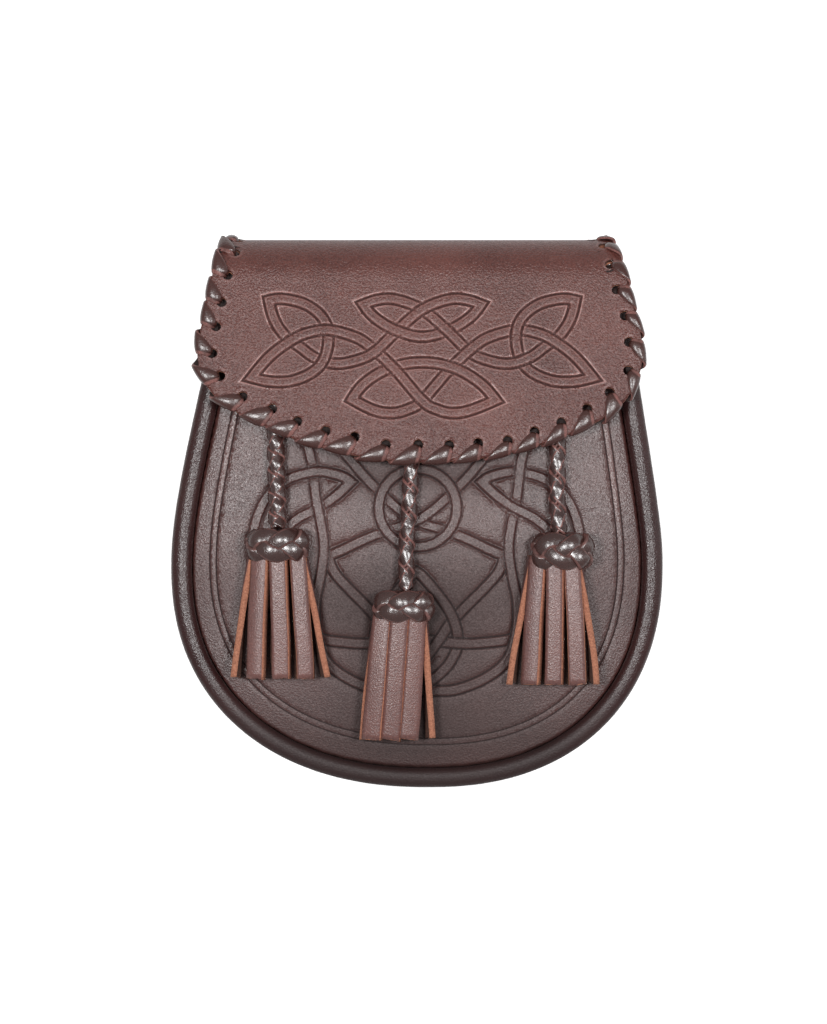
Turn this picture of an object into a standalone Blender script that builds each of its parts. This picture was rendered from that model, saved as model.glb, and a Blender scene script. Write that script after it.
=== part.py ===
"""A leather flap pouch, a day sporran, lying on its back with its front up.

Seen from the front, +X is to the right and +Y runs up to the folded top. +Z comes out of the front.
The origin is about the middle of the pouch, on the surface that it lies on. A domed front
and a flat back are joined by a gusset, a piping runs round the front's edge, and a flap sewn to the
back folds over the mouth. Three plaited cords come out from under the flap, each with a knot and a
cut fringe.
"""

import math
from itertools import pairwise

import bmesh
import bpy
from mathutils import Vector
from mathutils.geometry import interpolate_bezier

MM = 0.001
GAP = 0.3 * MM
SIGN = {"left": -1, "right": 1}

# Outline of the body, out to the piping's edge. Its two halves meet at the lowest point of the belly
HALF_WIDTH = {"left": 90.1 * MM, "right": 89.4 * MM}
BELLY_Y = {"left": -19.5 * MM, "right": -18.5 * MM}
SIDE_SLOPE = {"left": 0.244, "right": 0.165}
SIDE_BEND = {"left": 26.8 * MM, "right": 15.1 * MM}
BELLY_POWER = {"left": 2.25, "right": 2.28}
BOTTOM_X = 3.9 * MM
BOTTOM_Y = -100.5 * MM
BODY_TOP_Y = 84 * MM
SIDE_STEPS = 9
BELLY_STEPS = 13

# Piping, the rolled bead along the front's edge
PIPING_RADIUS = 3.7 * MM
PIPING_BOTTOM_RADIUS = 3.3 * MM
PIPING_Z = 32.6 * MM
PIPING_TAPER_Y = -20 * MM

# Front panel, moulded into a low dome
PANEL_THICKNESS = 2.5 * MM
PANEL_EDGE_Z = 34 * MM
DOME_RISE = 5 * MM
DOME_Y = -8 * MM
DOME_HALF_WIDTH = 84 * MM
DOME_HALF_LENGTH = 90 * MM
DOME_COLUMNS = 12

# Back panel, a flat sheet that leans up towards the keepers under it
BACK_THICKNESS = 2.5 * MM
BACK_INSET = 2 * MM
BACK_TOP_Y = 78 * MM
BACK_TILT = 0.059

# Gusset, which sinks in a little halfway up
GUSSET_THICKNESS = 2 * MM
GUSSET_INSET = 2.9 * MM
GUSSET_SINK = 3.5 * MM
GUSSET_TOP_Y = 81 * MM
GUSSET_LEVELS = 4

# Flap: a tail on the back, a round fold over the top, then the front
FLAP_THICKNESS = 2.5 * MM
TAIL_LENGTH = 17 * MM
FOLD_RADIUS = 17.3 * MM
FOLD_TOP_Y = 99.8 * MM
FLAP_SLOPE = 0.137
FLAP_SETTLE = 0.45
FLAP_CROWN = 1.6 * MM
FLAP_HALF_TOP = 72.6 * MM
FLAP_BOTTOM_X = 2.9 * MM
FLAP_BOTTOM_Y = 16.9 * MM
FLAP_BOTTOM_RADIUS = 138.8 * MM
FLAP_CORNER_RADIUS = {"left": 24.5 * MM, "right": 28.8 * MM}
FLAP_CORNER_X = {"left": 56.7 * MM, "right": 53.9 * MM}
FLAP_FLARE = {"left": 0.207, "right": 0.244}
FLAP_COLUMNS = 8
TAIL_STEPS = 2
FOLD_STEPS = 12
FLAP_SIDE_STEPS = 3
CORNER_STEPS = 7
BOTTOM_STEPS = 8

# Lacing, whose outer form is a channel round the flap's edge
LACE_THICKNESS = 0.9 * MM
LACE_REACH = 6.4 * MM

# Keepers for the belt, on the back
KEEPER_WIDTH = 22 * MM
KEEPER_THICKNESS = 2.2 * MM
KEEPER_X = 38 * MM
KEEPER_Y = (5 * MM, 63 * MM)
KEEPER_FLANGE = 8.5 * MM
KEEPER_RAMP = 5 * MM

# Closing stud
STUD_Y = 52 * MM
STUD_RADIUS = 6 * MM
STUD_Z = (37.5 * MM, 42.7 * MM)
STUD_SEGMENTS = 20
STUD_RIM = 1 * MM

# Tabs that hold the cords' upper ends
TAB_WIDTH = 11 * MM
TAB_LENGTH = 8 * MM
TAB_HEIGHT = 6.2 * MM

# Fringes, ever thinner downwards, and the knots above them
SKIRT_STEPS = 4
SKIRT_DEPTHS = (10 * MM, 8 * MM)
KNOT_SEGMENTS = (14, 8)

# Corners of a fringe's or a tab's section, as shares of half its width and of its depth
PADDED_SECTION = [(-1, 0.3), (-0.76, 0), (0.76, 0), (1, 0.3), (1, 0.7), (0.76, 1), (-0.76, 1), (-1, 0.7)]

# Millimetres. route: the cord's centre line from the tab down to the knot. knot: its middle, then its
# size across, along and through. skirt_top and skirt_end: middle and width of the fringe's two ends.
TASSELS = {
    "left": {
        "cord_diameter": 6.4,
        "route": [(-51.9, 40, 39.8), (-51.6, 28, 40.2), (-51.4, 16, 40.6), (-51.1, 5, 41.2), (-50.9, -5.5, 42.4)],
        "knot": (-51.0, -12.0),
        "knot_size": (24.8, 12.4, 12.6),
        "skirt_top": (-51.0, -18.6, 20.4),
        "skirt_end": (-49.9, -60.4, 34.9),
    },
    "middle": {
        "cord_diameter": 5.8,
        "route": [(-1.8, 32, 41.3), (-2.4, 17, 41.9), (-3.1, 3, 42.3), (-4.0, -12, 42.6), (-4.3, -28.1, 43.8)],
        "knot": (-5.1, -34.2),
        "knot_size": (23.7, 11.6, 12.0),
        "skirt_top": (-6.2, -40.4, 18.9),
        "skirt_end": (-7.5, -82.6, 26.6),
    },
    "right": {
        "cord_diameter": 6.0,
        "route": [(51.0, 39, 39.7), (50.8, 27, 40.0), (50.6, 15, 40.4), (50.6, 4, 41.0), (51.2, -7.0, 42.4)],
        "knot": (52.4, -14.2),
        "knot_size": (24.4, 13.8, 13.0),
        "skirt_top": (49.5, -21.5, 19.3),
        "skirt_end": (49.0, -62.6, 32.8),
    },
}

# Colour, roughness and metallic value
FINISHES = {
    "panel_leather": ((0.120, 0.066, 0.062), 0.45, 0.0),
    "piping_leather": ((0.085, 0.045, 0.043), 0.32, 0.0),
    "gusset_leather": ((0.080, 0.044, 0.042), 0.55, 0.0),
    "back_leather": ((0.095, 0.052, 0.048), 0.55, 0.0),
    "flap_leather": ((0.130, 0.070, 0.065), 0.42, 0.0),
    "lace_leather": ((0.050, 0.026, 0.025), 0.30, 0.0),
    "fringe_leather": ((0.110, 0.060, 0.056), 0.50, 0.0),
    "stud_metal": ((0.30, 0.26, 0.20), 0.35, 1.0),
}


def clear_scene():
    for item in list(bpy.data.objects):
        bpy.data.objects.remove(item, do_unlink=True)


def finish_material(name):
    colour, roughness, metallic = FINISHES[name]
    material = bpy.data.materials.get(name) or bpy.data.materials.new(name)
    material.use_nodes = True
    shader = material.node_tree.nodes["Principled BSDF"]
    shader.inputs["Base Color"].default_value = (*colour, 1)
    shader.inputs["Roughness"].default_value = roughness
    shader.inputs["Metallic"].default_value = metallic
    material.diffuse_color = (*colour, 1)
    return material


def add_holder(name, parent=None):
    """An empty that carries the pieces of one sub-assembly."""
    holder = bpy.data.objects.new(name, None)
    holder.parent = parent
    bpy.context.scene.collection.objects.link(holder)
    return holder


def add_object(name, data, finish, parent):
    data.materials.append(finish_material(finish))
    piece = bpy.data.objects.new(name, data)
    piece.parent = parent
    bpy.context.scene.collection.objects.link(piece)
    return piece


def add_solid(name, shape, finish, parent, sharp_angle=35):
    """Turns a closed bmesh into an object, with its faces pointing out."""
    bmesh.ops.recalc_face_normals(shape, faces=shape.faces)
    mesh = bpy.data.meshes.new(name)
    shape.to_mesh(mesh)
    shape.free()
    mesh.shade_smooth()
    mesh.set_sharp_from_angle(angle=math.radians(sharp_angle))
    return add_object(name, mesh, finish, parent)


def add_face(shape, *corners):
    """A face, or none where two rows have met in a point."""
    distinct = list(dict.fromkeys(corners))
    if len(distinct) > 2:
        shape.faces.new(distinct)


def add_sheet(name, rows, place, thickness, columns, finish, parent):
    """A closed sheet of leather. rows holds its left and right edge, level by level, and place bends it."""
    shape = bmesh.new()
    faces_of_sheet = []
    for depth in (0, thickness):
        grid = []
        for left, right in rows:
            if (right - left).length < GAP:
                line = [shape.verts.new(place(left, depth))] * (columns + 1)
            else:
                steps = [left.lerp(right, c / columns) for c in range(columns + 1)]
                line = [shape.verts.new(place(step, depth)) for step in steps]
            grid.append(line)
        faces_of_sheet.append(grid)
    for grid in faces_of_sheet:
        for upper, lower in pairwise(grid):
            for c in range(columns):
                add_face(shape, upper[c], upper[c + 1], lower[c + 1], lower[c])
    outer, inner = faces_of_sheet
    for end in (0, -1):
        for r in range(len(rows) - 1):
            add_face(shape, outer[r][end], outer[r + 1][end], inner[r + 1][end], inner[r][end])
        for c in range(columns):
            add_face(shape, outer[end][c], outer[end][c + 1], inner[end][c + 1], inner[end][c])
    return add_solid(name, shape, finish, parent)


def add_sweep(name, rings, finish, parent):
    """A closed solid through rings of equally many points, with a flat cap on each end."""
    shape = bmesh.new()
    loops = [[shape.verts.new(point) for point in ring] for ring in rings]
    for first, second in pairwise(loops):
        for i in range(len(first)):
            add_face(shape, first[i - 1], first[i], second[i], second[i - 1])
    shape.faces.new(loops[0])
    shape.faces.new(loops[-1])
    return add_solid(name, shape, finish, parent)


def add_tube(name, points, radii, resolution, finish, parent):
    curve = bpy.data.curves.new(name, "CURVE")
    curve.dimensions = "3D"
    curve.bevel_depth = radii[0]
    curve.bevel_resolution = resolution
    curve.use_fill_caps = True
    spline = curve.splines.new("POLY")
    spline.points.add(len(points) - 1)
    for target, point, radius in zip(spline.points, points, radii):
        target.co = (*point, 1)
        target.radius = radius / radii[0]
    return add_object(name, curve, finish, parent)


def half_outline(side, top_y):
    """One side of the body, from its top down to the lowest point of the belly."""
    sign = SIGN[side]
    belly_y = BELLY_Y[side]
    bend = SIDE_BEND[side]
    points = []
    for i in range(SIDE_STEPS):
        y = top_y + (belly_y - top_y) * i / SIDE_STEPS
        narrowing = SIDE_SLOPE[side] * (math.hypot(y - belly_y, bend) - bend)
        points.append(Vector((sign * (HALF_WIDTH[side] - narrowing), y)))
    power = 2 / BELLY_POWER[side]
    reach = sign * HALF_WIDTH[side] - BOTTOM_X
    for i in range(BELLY_STEPS + 1):
        angle = math.pi / 2 * i / BELLY_STEPS
        x = BOTTOM_X + reach * abs(math.cos(angle)) ** power
        y = belly_y - (belly_y - BOTTOM_Y) * math.sin(angle) ** power
        points.append(Vector((x, y)))
    points[-1].x = BOTTOM_X
    return points


def body_outline(inset, top_y):
    """The body's edge from the top left, round the belly, to the top right, moved inwards by inset."""
    edge = half_outline("left", top_y) + half_outline("right", top_y)[-2::-1]
    moved = []
    for i, point in enumerate(edge):
        along = (edge[min(i + 1, len(edge) - 1)] - edge[max(i - 1, 0)]).normalized()
        moved.append(point + inset * Vector((-along.y, along.x)))
    return moved


def outline_rows(outline):
    """Pairs each point of the left edge with its partner on the right."""
    middle = len(outline) // 2
    return list(zip(outline[: middle + 1], outline[: middle - 1 : -1]))


def panel_height(x, y):
    """Height of the front panel's outer face."""
    across = 1 - (x / DOME_HALF_WIDTH) ** 2
    along = 1 - ((y - DOME_Y) / DOME_HALF_LENGTH) ** 2
    return PANEL_EDGE_Z + DOME_RISE * max(across * along, 0)


def back_height(y):
    """Height of the back panel's outer face."""
    return BACK_TILT * (y - BOTTOM_Y - BACK_INSET)


def add_front_panel(parent):
    outline = body_outline(2 * PIPING_RADIUS + GAP, BODY_TOP_Y)

    def place(point, depth):
        return Vector((point.x, point.y, panel_height(point.x, point.y) - depth))

    rows = outline_rows(outline)
    add_sheet("front_panel", rows, place, PANEL_THICKNESS, DOME_COLUMNS, "panel_leather", parent)


def add_piping(parent):
    """The bead gets a little thinner under the belly."""
    points = []
    radii = []
    for point in body_outline(PIPING_RADIUS, BODY_TOP_Y):
        low = min(max((PIPING_TAPER_Y - point.y) / (PIPING_TAPER_Y - BOTTOM_Y), 0), 1)
        points.append(Vector((point.x, point.y, PIPING_Z)))
        radii.append(PIPING_RADIUS + (PIPING_BOTTOM_RADIUS - PIPING_RADIUS) * low)
    add_tube("edge_piping", points, radii, 2, "piping_leather", parent)


def add_back_panel(parent):
    outline = body_outline(BACK_INSET, BACK_TOP_Y)

    def place(point, depth):
        return Vector((point.x, point.y, back_height(point.y) + depth))

    add_sheet("back_panel", outline_rows(outline), place, BACK_THICKNESS, 1, "back_leather", parent)


def add_gusset(parent):
    """The wall between back and front. It stands on the back panel and ends under the piping."""
    top_z = PIPING_Z - PIPING_RADIUS - GAP
    outer = []
    inner = []
    for level in range(GUSSET_LEVELS + 1):
        share = level / GUSSET_LEVELS
        inset = GUSSET_INSET + GUSSET_SINK * math.sin(math.pi * share)
        for wall, depth in ((outer, 0), (inner, GUSSET_THICKNESS)):
            line = []
            for point in body_outline(inset + depth, GUSSET_TOP_Y):
                low_z = back_height(point.y) + BACK_THICKNESS + GAP
                line.append(Vector((point.x, point.y, low_z + (top_z - low_z) * share)))
            wall.append(line)
    levels = outer + inner[::-1]
    add_sweep("gusset", list(zip(*levels)), "gusset_leather", parent)


FOLD_START = math.atan(BACK_TILT) - math.pi / 2
FOLD_END = math.pi / 2 - math.atan(FLAP_SLOPE)
FOLD_LENGTH = FOLD_RADIUS * (FOLD_END - FOLD_START)
FRONT_START = TAIL_LENGTH + FOLD_LENGTH
FOLD_Y = FOLD_TOP_Y - FOLD_RADIUS
TAIL_Y = FOLD_Y + FOLD_RADIUS * math.cos(FOLD_START)
TAIL_Z = back_height(TAIL_Y) - GAP - FLAP_THICKNESS
FOLD_Z = TAIL_Z - FOLD_RADIUS * math.sin(FOLD_START)
FRONT_Y = FOLD_Y + FOLD_RADIUS * math.cos(FOLD_END)
FRONT_Z = FOLD_Z + FOLD_RADIUS * math.sin(FOLD_END)


def flap_profile(along):
    """A point of the flap's outer face and its normal, both as (y, z), by the distance from the tail's end."""
    if along < TAIL_LENGTH:
        normal = Vector((math.cos(FOLD_START), math.sin(FOLD_START)))
        towards_fold = Vector((-normal.y, normal.x))
        return Vector((TAIL_Y, TAIL_Z)) - towards_fold * (TAIL_LENGTH - along), normal
    if along < FRONT_START:
        angle = FOLD_START + (along - TAIL_LENGTH) / FOLD_RADIUS
        normal = Vector((math.cos(angle), math.sin(angle)))
        return Vector((FOLD_Y, FOLD_Z)) + normal * FOLD_RADIUS, normal
    down = along - FRONT_START
    rise = FLAP_SLOPE * down - FLAP_SETTLE * down**2
    slope = FLAP_SLOPE - 2 * FLAP_SETTLE * down
    return Vector((FRONT_Y - down, FRONT_Z + rise)), Vector((slope, 1)).normalized()


def place_flap(point, depth):
    """Bends a point of the flat flap, (across, along), into place, depth below its outer face."""
    position, normal = flap_profile(point.y)
    position = position - normal * depth
    down = min(max((point.y - FRONT_START) / (FRONT_Y - FLAP_BOTTOM_Y), 0), 1)
    crown = FLAP_CROWN * down * (point.x / FLAP_HALF_TOP) ** 2
    return Vector((point.x, position.x, position.y - crown))


def flap_side(side, inset):
    """One edge of the flat flap, (across, along), from the tail to the lowest point of its front."""
    sign = SIGN[side]
    flare = FLAP_FLARE[side]
    bottom = Vector((sign * FLAP_BOTTOM_X, FLAP_BOTTOM_Y + FLAP_BOTTOM_RADIUS))
    reach = FLAP_BOTTOM_RADIUS - FLAP_CORNER_RADIUS[side]
    corner_x = FLAP_CORNER_X[side]
    corner = Vector((corner_x, bottom.y - math.sqrt(reach**2 - (corner_x - bottom.x) ** 2)))
    side_angle = math.atan(flare)
    join_angle = math.atan2(corner.y - bottom.y, corner.x - bottom.x)
    radius = FLAP_CORNER_RADIUS[side] - inset
    corner_start = corner + radius * Vector((math.cos(side_angle), math.sin(side_angle)))
    side_end = FRONT_START + FRONT_Y - corner_start.y

    def straight(along):
        flared = min(side_end - along, side_end - TAIL_LENGTH - FOLD_LENGTH / 2)
        return Vector((corner_start.x - flare * flared, along))

    def on_front(centre, angle, arc_radius):
        point = centre + arc_radius * Vector((math.cos(angle), math.sin(angle)))
        return Vector((point.x, FRONT_START + FRONT_Y - point.y))

    edge = []
    stops = [(0, TAIL_STEPS), (TAIL_LENGTH, FOLD_STEPS), (FRONT_START, FLAP_SIDE_STEPS), (side_end, 0)]
    for (start, steps), (end, _) in pairwise(stops):
        edge += [straight(start + (end - start) * i / steps) for i in range(steps)]
    for i in range(CORNER_STEPS):
        angle = side_angle + (join_angle - side_angle) * i / CORNER_STEPS
        edge.append(on_front(corner, angle, radius))
    for i in range(BOTTOM_STEPS + 1):
        angle = join_angle + (-math.pi / 2 - join_angle) * i / BOTTOM_STEPS
        edge.append(on_front(bottom, angle, FLAP_BOTTOM_RADIUS - inset))
    edge = [Vector((sign * point.x, point.y)) for point in edge]
    edge[-1].x = FLAP_BOTTOM_X
    return edge


def flap_outline(inset):
    return flap_side("left", inset) + flap_side("right", inset)[-2::-1]


def add_flap(parent):
    rows = outline_rows(flap_outline(LACE_THICKNESS + GAP))
    add_sheet("flap", rows, place_flap, FLAP_THICKNESS, FLAP_COLUMNS, "flap_leather", parent)


def add_lacing(parent):
    """A channel of lace round the flap's edge, clear of the tail. A section's corner is (inset, depth)."""
    out = -LACE_THICKNESS - GAP
    under = FLAP_THICKNESS + GAP
    soft = LACE_THICKNESS
    section = [
        (LACE_REACH, out),
        (soft, out),
        (0, out + soft),
        (0, under),
        (soft, under + LACE_THICKNESS),
        (LACE_REACH, under + LACE_THICKNESS),
        (LACE_REACH, under),
        (LACE_THICKNESS, under),
        (LACE_THICKNESS, -GAP),
        (LACE_REACH, -GAP),
    ]
    lines = []
    for inset, depth in section:
        laced = flap_outline(inset)[TAIL_STEPS:-TAIL_STEPS]
        lines.append([place_flap(point, depth) for point in laced])
    add_sweep("flap_lacing", list(zip(*lines)), "lace_leather", parent)


def add_keeper(name, middle_x, parent):
    """A strap of leather sewn down at both ends, with room for the belt behind it."""
    low_y, high_y = KEEPER_Y
    flat_low = low_y + KEEPER_FLANGE + KEEPER_RAMP
    flat_high = high_y - KEEPER_FLANGE - KEEPER_RAMP

    def flange(y, depth):
        return (y, back_height(y) - GAP - depth)

    thickness = KEEPER_THICKNESS
    section = [
        flange(low_y, thickness),
        flange(low_y + KEEPER_FLANGE, thickness),
        (flat_low, 0),
        (flat_high, 0),
        flange(high_y - KEEPER_FLANGE, thickness),
        flange(high_y, thickness),
        flange(high_y, 0),
        flange(high_y - KEEPER_FLANGE - GAP, 0),
        (flat_high - GAP, thickness),
        (flat_low + GAP, thickness),
        flange(low_y + KEEPER_FLANGE + GAP, 0),
        flange(low_y, 0),
    ]
    edges = (middle_x - KEEPER_WIDTH / 2, middle_x + KEEPER_WIDTH / 2)
    rings = [[Vector((x, y, z)) for y, z in section] for x in edges]
    add_sweep(name, rings, "back_leather", parent)


def add_stud(parent):
    low_z, high_z = STUD_Z
    shape = bmesh.new()
    bmesh.ops.create_cone(
        shape, cap_ends=True, segments=STUD_SEGMENTS, radius1=STUD_RADIUS, radius2=STUD_RADIUS,
        depth=high_z - low_z,
    )
    stud = add_solid("closure_stud", shape, "stud_metal", parent)
    stud.location = (0, STUD_Y, (low_z + high_z) / 2)
    bevel = stud.modifiers.new("soft rim", "BEVEL")
    bevel.width = STUD_RIM
    bevel.segments = 2


def smooth_route(route, steps):
    """Points along one smooth curve through a route's own points."""
    last = len(route) - 1
    slopes = [(route[min(i + 1, last)] - route[max(i - 1, 0)]) / 2 for i in range(last + 1)]
    points = [route[0]]
    for i in range(last):
        handles = (route[i] + slopes[i] / 3, route[i + 1] - slopes[i + 1] / 3)
        points += interpolate_bezier(route[i], *handles, route[i + 1], steps + 1)[1:]
    return points


def padded_section(middle_x, y, low_z, width, depth):
    """An eight-cornered section across a fringe or a tab."""
    return [Vector((middle_x + width / 2 * x, y, low_z + depth * z)) for x, z in PADDED_SECTION]


def clear_of_panel(middle_x, y, width, gap=GAP):
    """Lowest height at which something this wide lies clear of the dome."""
    return gap + max(panel_height(middle_x + width * share, y) for share in (-0.5, -0.25, 0, 0.25, 0.5))


def add_tab(name, cord_top, parent):
    """The tab begins where its cord ends."""
    rings = []
    for y in (cord_top.y + GAP, cord_top.y + GAP + TAB_LENGTH):
        low_z = clear_of_panel(cord_top.x, y, TAB_WIDTH)
        rings.append(padded_section(cord_top.x, y, low_z, TAB_WIDTH, TAB_HEIGHT))
    add_sweep(name, rings, "back_leather", parent)


def add_knot(name, middle, size, parent):
    shape = bmesh.new()
    around, levels = KNOT_SEGMENTS
    bmesh.ops.create_uvsphere(shape, u_segments=around, v_segments=levels, radius=0.5)
    knot = add_solid(name, shape, "lace_leather", parent)
    x, y = middle
    low_z = clear_of_panel(x, y, size.x / 2, 2 * GAP)
    knot.location = (x, y, low_z + size.z / 2)
    knot.scale = size


def add_skirt(name, top, end, parent):
    rings = []
    for i in range(SKIRT_STEPS + 1):
        share = i / SKIRT_STEPS
        x, y, width = top.lerp(end, share)
        depth = SKIRT_DEPTHS[0] + (SKIRT_DEPTHS[1] - SKIRT_DEPTHS[0]) * share
        rings.append(padded_section(x, y, clear_of_panel(x, y, width), width, depth))
    add_sweep(name, rings, "fringe_leather", parent)


def add_tassel(side, sizes, parent):
    """A tab, a plaited cord, a woven knot and a cut fringe, from the flap downwards."""
    holder = add_holder("tassel_" + side, parent)
    route = [Vector(point) * MM for point in sizes["route"]]
    points = smooth_route(route, 2)
    radii = [sizes["cord_diameter"] / 2 * MM] * len(points)
    add_tab("tassel_anchor_" + side, route[0], holder)
    add_tube("tassel_cord_" + side, points, radii, 2, "lace_leather", holder)
    knot_middle = Vector(sizes["knot"]) * MM
    add_knot("tassel_knot_" + side, knot_middle, Vector(sizes["knot_size"]) * MM, holder)
    top = Vector(sizes["skirt_top"]) * MM
    end = Vector(sizes["skirt_end"]) * MM
    add_skirt("tassel_skirt_" + side, top, end, holder)


def build():
    clear_scene()
    pouch = add_holder("pouch")
    add_front_panel(pouch)
    add_piping(pouch)
    add_back_panel(pouch)
    add_gusset(pouch)
    add_flap(pouch)
    add_lacing(pouch)
    add_keeper("strap_loop_left", -KEEPER_X, pouch)
    add_keeper("strap_loop_right", KEEPER_X, pouch)
    add_stud(pouch)
    for side, sizes in TASSELS.items():
        add_tassel(side, sizes, pouch)


build()
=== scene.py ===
import math
import bpy
import numpy as np
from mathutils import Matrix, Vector
from mathutils.geometry import delaunay_2d_cdt


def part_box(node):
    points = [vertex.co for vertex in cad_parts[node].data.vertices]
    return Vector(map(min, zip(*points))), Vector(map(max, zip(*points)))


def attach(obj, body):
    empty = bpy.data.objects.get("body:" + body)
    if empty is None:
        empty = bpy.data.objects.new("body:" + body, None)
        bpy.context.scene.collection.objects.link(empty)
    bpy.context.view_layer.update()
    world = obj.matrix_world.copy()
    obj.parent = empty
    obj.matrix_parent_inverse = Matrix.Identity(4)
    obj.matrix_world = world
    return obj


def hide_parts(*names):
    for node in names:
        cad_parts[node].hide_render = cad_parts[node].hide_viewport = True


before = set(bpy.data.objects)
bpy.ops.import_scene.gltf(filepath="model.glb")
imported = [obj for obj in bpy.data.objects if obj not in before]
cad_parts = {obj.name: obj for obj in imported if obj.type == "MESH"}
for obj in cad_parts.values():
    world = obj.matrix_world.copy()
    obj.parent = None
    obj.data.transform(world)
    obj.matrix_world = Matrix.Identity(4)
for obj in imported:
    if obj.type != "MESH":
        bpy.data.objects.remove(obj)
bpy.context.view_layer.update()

# A leather day sporran lying on its back. Lengths here are millimetres, and newPiece makes them metres.
mm = 0.001
scene = bpy.context.scene
print("frame loaded:", len(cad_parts), "nodes")


# camera, soft light and floor

view = {"x": -1.6, "height": 1591, "lens": 150, "sensor": 36}
camera = bpy.data.objects.new("camera", bpy.data.cameras.new("camera"))
camera.data.lens = view["lens"]
camera.data.sensor_width = view["sensor"]
camera.data.clip_end = 20
camera.location = (view["x"] * mm, 0, view["height"] * mm)
scene.collection.objects.link(camera)
scene.camera = camera
scene.view_settings.view_transform = "Standard"

# each light: place and size in metres, watts; all of them point at the pouch
studio = {
    "left": ((-0.50, 0.04, 1.60), (0.26, 0.34), 17),
    "right": ((0.50, 0.07, 1.60), (0.26, 0.34), 15),
    "low": ((0.95, 0.05, 0.45), (0.3, 0.8), 1.0),
}
ambient = 0.30

for lightName, (place, size, watts) in studio.items():
    lamp = bpy.data.lights.new(lightName, "AREA")
    lamp.shape = "RECTANGLE"
    lamp.size, lamp.size_y = size
    lamp.energy = watts
    holder = bpy.data.objects.new(lightName + "Light", lamp)
    holder.location = place
    holder.rotation_euler = Vector(place).to_track_quat("Z", "Y").to_euler()
    scene.collection.objects.link(holder)

world = bpy.data.worlds.new("studio")
world.use_nodes = True
background = world.node_tree.nodes["Background"]
background.inputs["Color"].default_value = (1, 1, 1, 1)
background.inputs["Strength"].default_value = ambient
scene.world = world
print("camera and lights ready")


# small helpers

def addNode(tree, kind, inputs=None, **settings):
    node = tree.nodes.new(kind)
    for name, value in settings.items():
        setattr(node, name, value)
    for key, value in (inputs or {}).items():
        if isinstance(value, bpy.types.NodeSocket):
            tree.links.new(value, node.inputs[key])
        else:
            node.inputs[key].default_value = value
    return node


def mathNode(tree, operation, *values, **settings):
    return addNode(tree, "ShaderNodeMath", dict(enumerate(values)), operation=operation, **settings).outputs[0]


def evenly(points, spacing):
    # the same line with points at even steps
    steps = np.linalg.norm(np.diff(points, axis=0), axis=1)
    run = np.concatenate([[0], np.cumsum(steps)])
    count = max(int(round(run[-1] / spacing)), 2)
    stops = np.linspace(0, run[-1], count + 1)
    return np.column_stack([np.interp(stops, run, column) for column in points.T])


def lineLength(points):
    return float(np.linalg.norm(np.diff(points, axis=0), axis=1).sum())


def unit(vectors):
    return vectors / np.maximum(np.linalg.norm(vectors, axis=-1, keepdims=True), 1e-9)


def headings(line):
    return unit(np.gradient(line, axis=0))


def runAlong(line):
    # how far along the line each of its even points lies
    return np.linspace(0, lineLength(line), len(line))


def fullTurn(count):
    return np.linspace(0, 2 * math.pi, count, endpoint=False)


def leftOf(heads):
    # flat directions turned a quarter to the left
    return np.stack([-heads[..., 1], heads[..., 0]], axis=-1)


def closedAcross(line, count):
    # an outline whose two ends are joined by a straight row of points
    x = np.linspace(line[-1, 0], line[0, 0], count)[1:-1]
    return np.concatenate([line, np.column_stack([x, np.full(len(x), line[0, 1])])])


def smoothLine(points, steps=10):
    # a soft curve through a few given points, at least three
    points = np.array(points, float)
    slopes = np.empty_like(points)
    slopes[1:-1] = (points[2:] - points[:-2]) / 2
    slopes[0] = 1.5 * (points[1] - points[0]) - slopes[1] / 2
    slopes[-1] = 1.5 * (points[-1] - points[-2]) - slopes[-2] / 2
    t = np.linspace(0, 1, steps, endpoint=False)[:, None]
    pieces = []
    for a, b, slopeA, slopeB in zip(points[:-1], points[1:], slopes[:-1], slopes[1:]):
        pieces.append(
            (2 * t**3 - 3 * t**2 + 1) * a + (t**3 - 2 * t**2 + t) * slopeA
            + (3 * t**2 - 2 * t**3) * b + (t**3 - t**2) * slopeB
        )
    return np.concatenate(pieces + [points[-1:]])


def smoothstep(low, high, value):
    t = np.clip((value - low) / (high - low), 0, 1)
    return t * t * (3 - 2 * t)


def wave(positions, wavelength, rng, octaves=3):
    # gentle seeded unevenness, about -1 to 1
    total = np.zeros(len(positions))
    for octave in range(octaves):
        turn = 2 * math.pi * positions / wavelength * (1.7**octave)
        total += np.sin(turn + rng.uniform(0, 2 * math.pi)) / 1.6**octave
    return total / 1.6


def newPiece(name, points, faces, material, attributes=None, extraMaterials=(), faceMaterial=None):
    mesh = bpy.data.meshes.new(name)
    mesh.from_pydata((np.asarray(points) * mm).tolist(), [], [list(map(int, face)) for face in faces])
    for each in (material, *extraMaterials):
        mesh.materials.append(each)
    if faceMaterial is not None:
        mesh.polygons.foreach_set("material_index", np.asarray(faceMaterial, np.int32))
    for key, values in (attributes or {}).items():
        layer = mesh.attributes.new(key, "FLOAT", "POINT")
        layer.data.foreach_set("value", np.asarray(values, np.float32))
    mesh.shade_smooth()
    mesh.update()
    piece = bpy.data.objects.new(name, mesh)
    scene.collection.objects.link(piece)
    return piece


def sweepRings(path, ups, section, widths, thicknesses, closed=False):
    # rings of a cut thong's section along a path; a section's points are (across, up)
    if closed:
        tangents = unit(np.roll(path, -1, axis=0) - np.roll(path, 1, axis=0))
    else:
        tangents = headings(path)
    sides = unit(np.cross(tangents, ups))
    ups = unit(np.cross(sides, tangents))
    across = section[None, :, 0, None] * np.asarray(widths)[:, None, None]
    up = section[None, :, 1, None] * np.asarray(thicknesses)[:, None, None]
    return path[:, None, :] + sides[:, None, :] * across + ups[:, None, :] * up


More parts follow.
